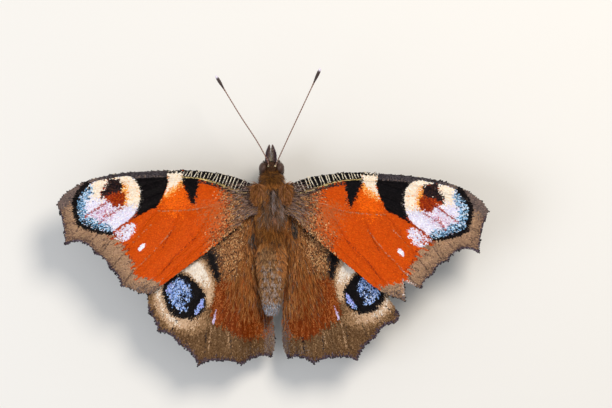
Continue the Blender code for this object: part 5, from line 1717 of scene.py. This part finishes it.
# Coats of the small parts
# The same hairs cover the tegulae, point forwards along the palps, and stand in short rows on
# the legs, where they are longest on the brush-like forelegs.
def on_tube(path, radii, count, draw, flatten=1.0):
    """Roots spread over a tube, with the way that it runs."""
    frames = tube_frames(path)
    place = draw.uniform(0, len(path) - 1.001, count)
    before = place.astype(int)
    share = (place - before)[:, None]
    middle = path[before] * (1 - share) + path[before + 1] * share
    radius = np.interp(place, range(len(path)), radii)[:, None]
    angle = draw.uniform(-math.pi, math.pi, count)[:, None]
    across = frames[before, 1] * np.cos(angle) + frames[before, 2] * np.sin(angle) * flatten
    normals = frames[before, 1] * np.cos(angle) * flatten + frames[before, 2] * np.sin(angle)
    normals /= np.linalg.norm(normals, axis=1)[:, None]
    root = np.stack([angle[:, 0] / (2 * math.pi) + 0.5, place / len(path)], axis=1)
    return middle + across * radius, normals, frames[before, 0], root


TEGULA_PINK = palette(_8a5a38=3, _9c6c4c=2, _6e4628=3, _50341e=3)
for side, across in (("L", 1), ("R", -1)):
    draw = np.random.default_rng(231 + across)
    path, radii = palp_run(across, 5)
    points, normals, lie, root = on_tube(path, radii, 1500, draw, PALP_FLATNESS)
    length = np.interp(points[:, 1], [-9.4, -8.6, -7.0], [0.14, 0.34, 0.36])
    tones = palp_colour(points, draw)
    coat = grow(f"palp_hair_{side}", points, normals, lie, length, 0.07, 0.2, 0.15, tones, root,
                flat_hair, downy_hair, draw)

    tilt = np.arccos(draw.uniform(-0.5, 1, 900))
    about = draw.uniform(-math.pi, math.pi, 900)
    unit = np.stack([np.sin(tilt) * np.cos(about), np.sin(tilt) * np.sin(about), np.cos(tilt)], axis=1)
    points = unit * TEGULA_RADII + np.array(TEGULA_CENTRE) * (across, 1, 1)
    normals = unit / TEGULA_RADII
    normals /= np.linalg.norm(normals, axis=1)[:, None]
    lie = np.tile((0.35 * across, 1.0, 0.0), (900, 1))
    tones = Markings(900, THORAX_GOLD, draw).lay(np.full(900, 0.4), TEGULA_PINK).colours
    root = np.stack([about / (2 * math.pi) + 0.5, tilt / math.pi], axis=1)
    coat = grow(f"tegula_hair_{side}", points, normals, lie, 1.0, 0.06, 0.2, 0.3, tones, root, fine_hair,
                downy_hair, draw)

draw = np.random.default_rng(241)
found = []
for index, (path, radii) in enumerate(COAT_RUNS):
    long = np.linalg.norm(path[-1] - path[0])
    points, normals, lie, root = on_tube(path, radii, int(110 * long) + 40, draw)
    root = np.stack([root[:, 0] / 6 + index % 6 / 6, root[:, 1] / 4 + index // 6 / 4], axis=1)
    found.append((points, normals, lie, root, np.full(len(points), 0.5 if len(path) > LEG_STEPS else 0.24)))
points, normals, lie, root = (np.vstack([run[i] for run in found]) for i in range(4))
clear = points[:, 2] > 0.27
length = np.concatenate([run[4] for run in found])
coat = grow("leg_hair", points[clear], normals[clear], lie[clear], length[clear], 0.055, 0.22, 0.15,
            leg_colour(points[clear], draw), root[clear], flat_hair, downy_hair, draw)


# Hair on the wings
# Near the body the scales give way to long hairs that lie back over the wing. They are greyish
# at the forewing's root, and long, brown and gold along the hindwing's inner half.
ROOT_GREY = palette(_74594c=4, _5a453c=3, _8c746a=3, _33292a=3, _a08c84=1, _a07848=2)
WING_BROWN = palette(_8a5428=4, _9a602e=3, _6c3e1c=3, _a86c36=2, _bc8850=1)
WING_SLATE = palette(_3e3630=3, _2c2622=3, _5a4e46=2, _8a7c72=1)
UNDER_HAIR_SHADE = 0.35
TRIES_PER_HAIR = 14


def wing_hair(kind, side, face, count, seed):
    draw = np.random.default_rng(seed)
    plan = PLANS[kind, side]
    low, high = plan["outline"].min(0), plan["outline"].max(0)
    points = draw.uniform(low, high, (count * TRIES_PER_HAIR, 2))
    x, y = points.T
    if kind == "forewing":
        chance = smooth_step(x + 0.3 * y, 6.5, 2.0) * smooth_step(y, -4.6, -3.4)
    else:
        reach = np.interp(y, [5.0, 10.0], [4.9, 7.0])
        chance = smooth_step(x, reach, reach - 2.6) * smooth_step(y, 15.5, 9.0)
    points = points[(draw.random(len(x)) < chance) & inside(plan["outline"], points)][:count]
    x, y = points.T
    if kind == "forewing":
        lie = np.stack([np.full(len(x), 1.0), 0.5 + 0.15 * y], axis=1)
        length = np.interp(x, [1.5, 4.0, 6.5], [1.1, 0.8, 0.45])
        marks = Markings(len(x), ROOT_GREY, draw)
    else:
        lie = np.stack([0.28 * (x - 1.0) / 4, np.ones(len(x))], axis=1)
        length = np.interp(y, [0, 4, 9, 15], [0.9, 1.2, 1.5, 1.0]) * np.interp(x, [2, 7], [1.0, 0.6])
        marks = Markings(len(x), WING_BROWN, draw)
        streak = streaked(points, (2.6, -1.0), 262, 0.4, 1.0)
        marks.lay(smooth_step(streak, 0.1, 0.6) * smooth_step(y, 5.0, 9.0) * 0.6, RUST_LIGHT)
        marks.lay(smooth_step(-streak, 0.4, 0.9) * 0.5, THORAX_GREY)
        slate_x, slate_y = (2.6, 2.9) if side == "L" else (2.9, 1.7)
        slate = smooth_step(np.hypot((x - slate_x) / 0.45, (y - slate_y) / 1.25), 1.2, 0.7)
        marks.lay(slate * 0.9, WING_SLATE)
    colours = marks.colours
    if face < 0:
        colours = colours * UNDER_HAIR_SHADE
    lie = lie + 0.14 * draw.normal(size=lie.shape) + 0.2 * ripple(points, 1.5, 261)[:, None] * (1, 0)
    lie /= np.linalg.norm(lie, axis=1)[:, None]
    spots, up, ahead = on_wing(kind, side, plan, points, lie, face, 0.0)
    name = f"hair_{kind}_{side}_" + ("upper" if face > 0 else "lower")
    return grow(name, spots, up, ahead, length, 0.055, 0.1, 0.0, colours, wing_unwrap(points), fine_hair,
                downy_hair, draw)


for index, (kind, side) in enumerate(PLANS):
    for face, count in ((1, 2600 if kind == "hindwing" else 1500), (-1, 900)):
        coat = wing_hair(kind, side, face, count, 250 + 2 * index + (face < 0))


# Floor, light and camera
# A plain pale floor and soft light from above, with the camera straight over the wings, as a
# long lens sees them.
FLOOR_SIZE = 600.0
floor_finish, floor_tree, floor_surface = new_material("pale_paper_floor")
paper = add(floor_tree, "ShaderNodeBsdfPrincipled", {
    "Base Color": (*linear("#e6e4df"), 1.0), "Roughness": 0.9,
})
floor_tree.links.new(paper.outputs[0], floor_surface)
half = FLOOR_SIZE / 2
floor = new_piece("floor", [(-half, -half, 0), (half, -half, 0), (half, half, 0), (-half, half, 0)],
                  [(0, 1, 2, 3)], floor_finish, smooth=False)


def soft_lamp(name, place, aim, size, power, colour):
    light = bpy.data.lights.new(name, "AREA")
    light.shape = "DISK"
    light.size = size * MM
    light.energy = power
    light.color = linear(colour)
    lamp = bpy.data.objects.new(name, light)
    bpy.context.scene.collection.objects.link(lamp)
    lamp.location = np.array(place) * MM + BODY_PLACE
    direction = (np.array(aim) - np.array(place))
    lamp.rotation_euler = Vector(direction.tolist()).to_track_quat("-Z", "Y").to_euler()
    return lamp


soft_lamp("key", (-120, -160, 260), (0, 3, 5), 130, 0.73, "#fff6ea")
soft_lamp("fill", (200, 60, 220), (0, 3, 5), 200, 0.36, "#eef4ff")
world = bpy.data.worlds.new("studio")
bpy.context.scene.world = world
world.use_nodes = True
world.node_tree.nodes["Background"].inputs["Color"].default_value = (*linear("#eef0f4"), 1.0)
world.node_tree.nodes["Background"].inputs["Strength"].default_value = 0.52

bpy.context.scene.view_settings.view_transform = "Standard"

VIEW_CENTRE = (-4.66, -1.49)
VIEW_WIDTH = 82.6
WING_LEVEL = 8.0
CAMERA_DISTANCE = 700.0
lens = bpy.data.cameras.new("camera")
lens.sensor_width = 36.0
lens.lens = 36.0 * CAMERA_DISTANCE / VIEW_WIDTH
lens.clip_start = 0.01
lens.clip_end = 20.0
camera = bpy.data.objects.new("camera", lens)
bpy.context.scene.collection.objects.link(camera)
camera.location = np.array([*VIEW_CENTRE, WING_LEVEL + CAMERA_DISTANCE]) * MM + BODY_PLACE
camera.rotation_euler = (0.0, 0.0, math.pi)
bpy.context.scene.camera = camera
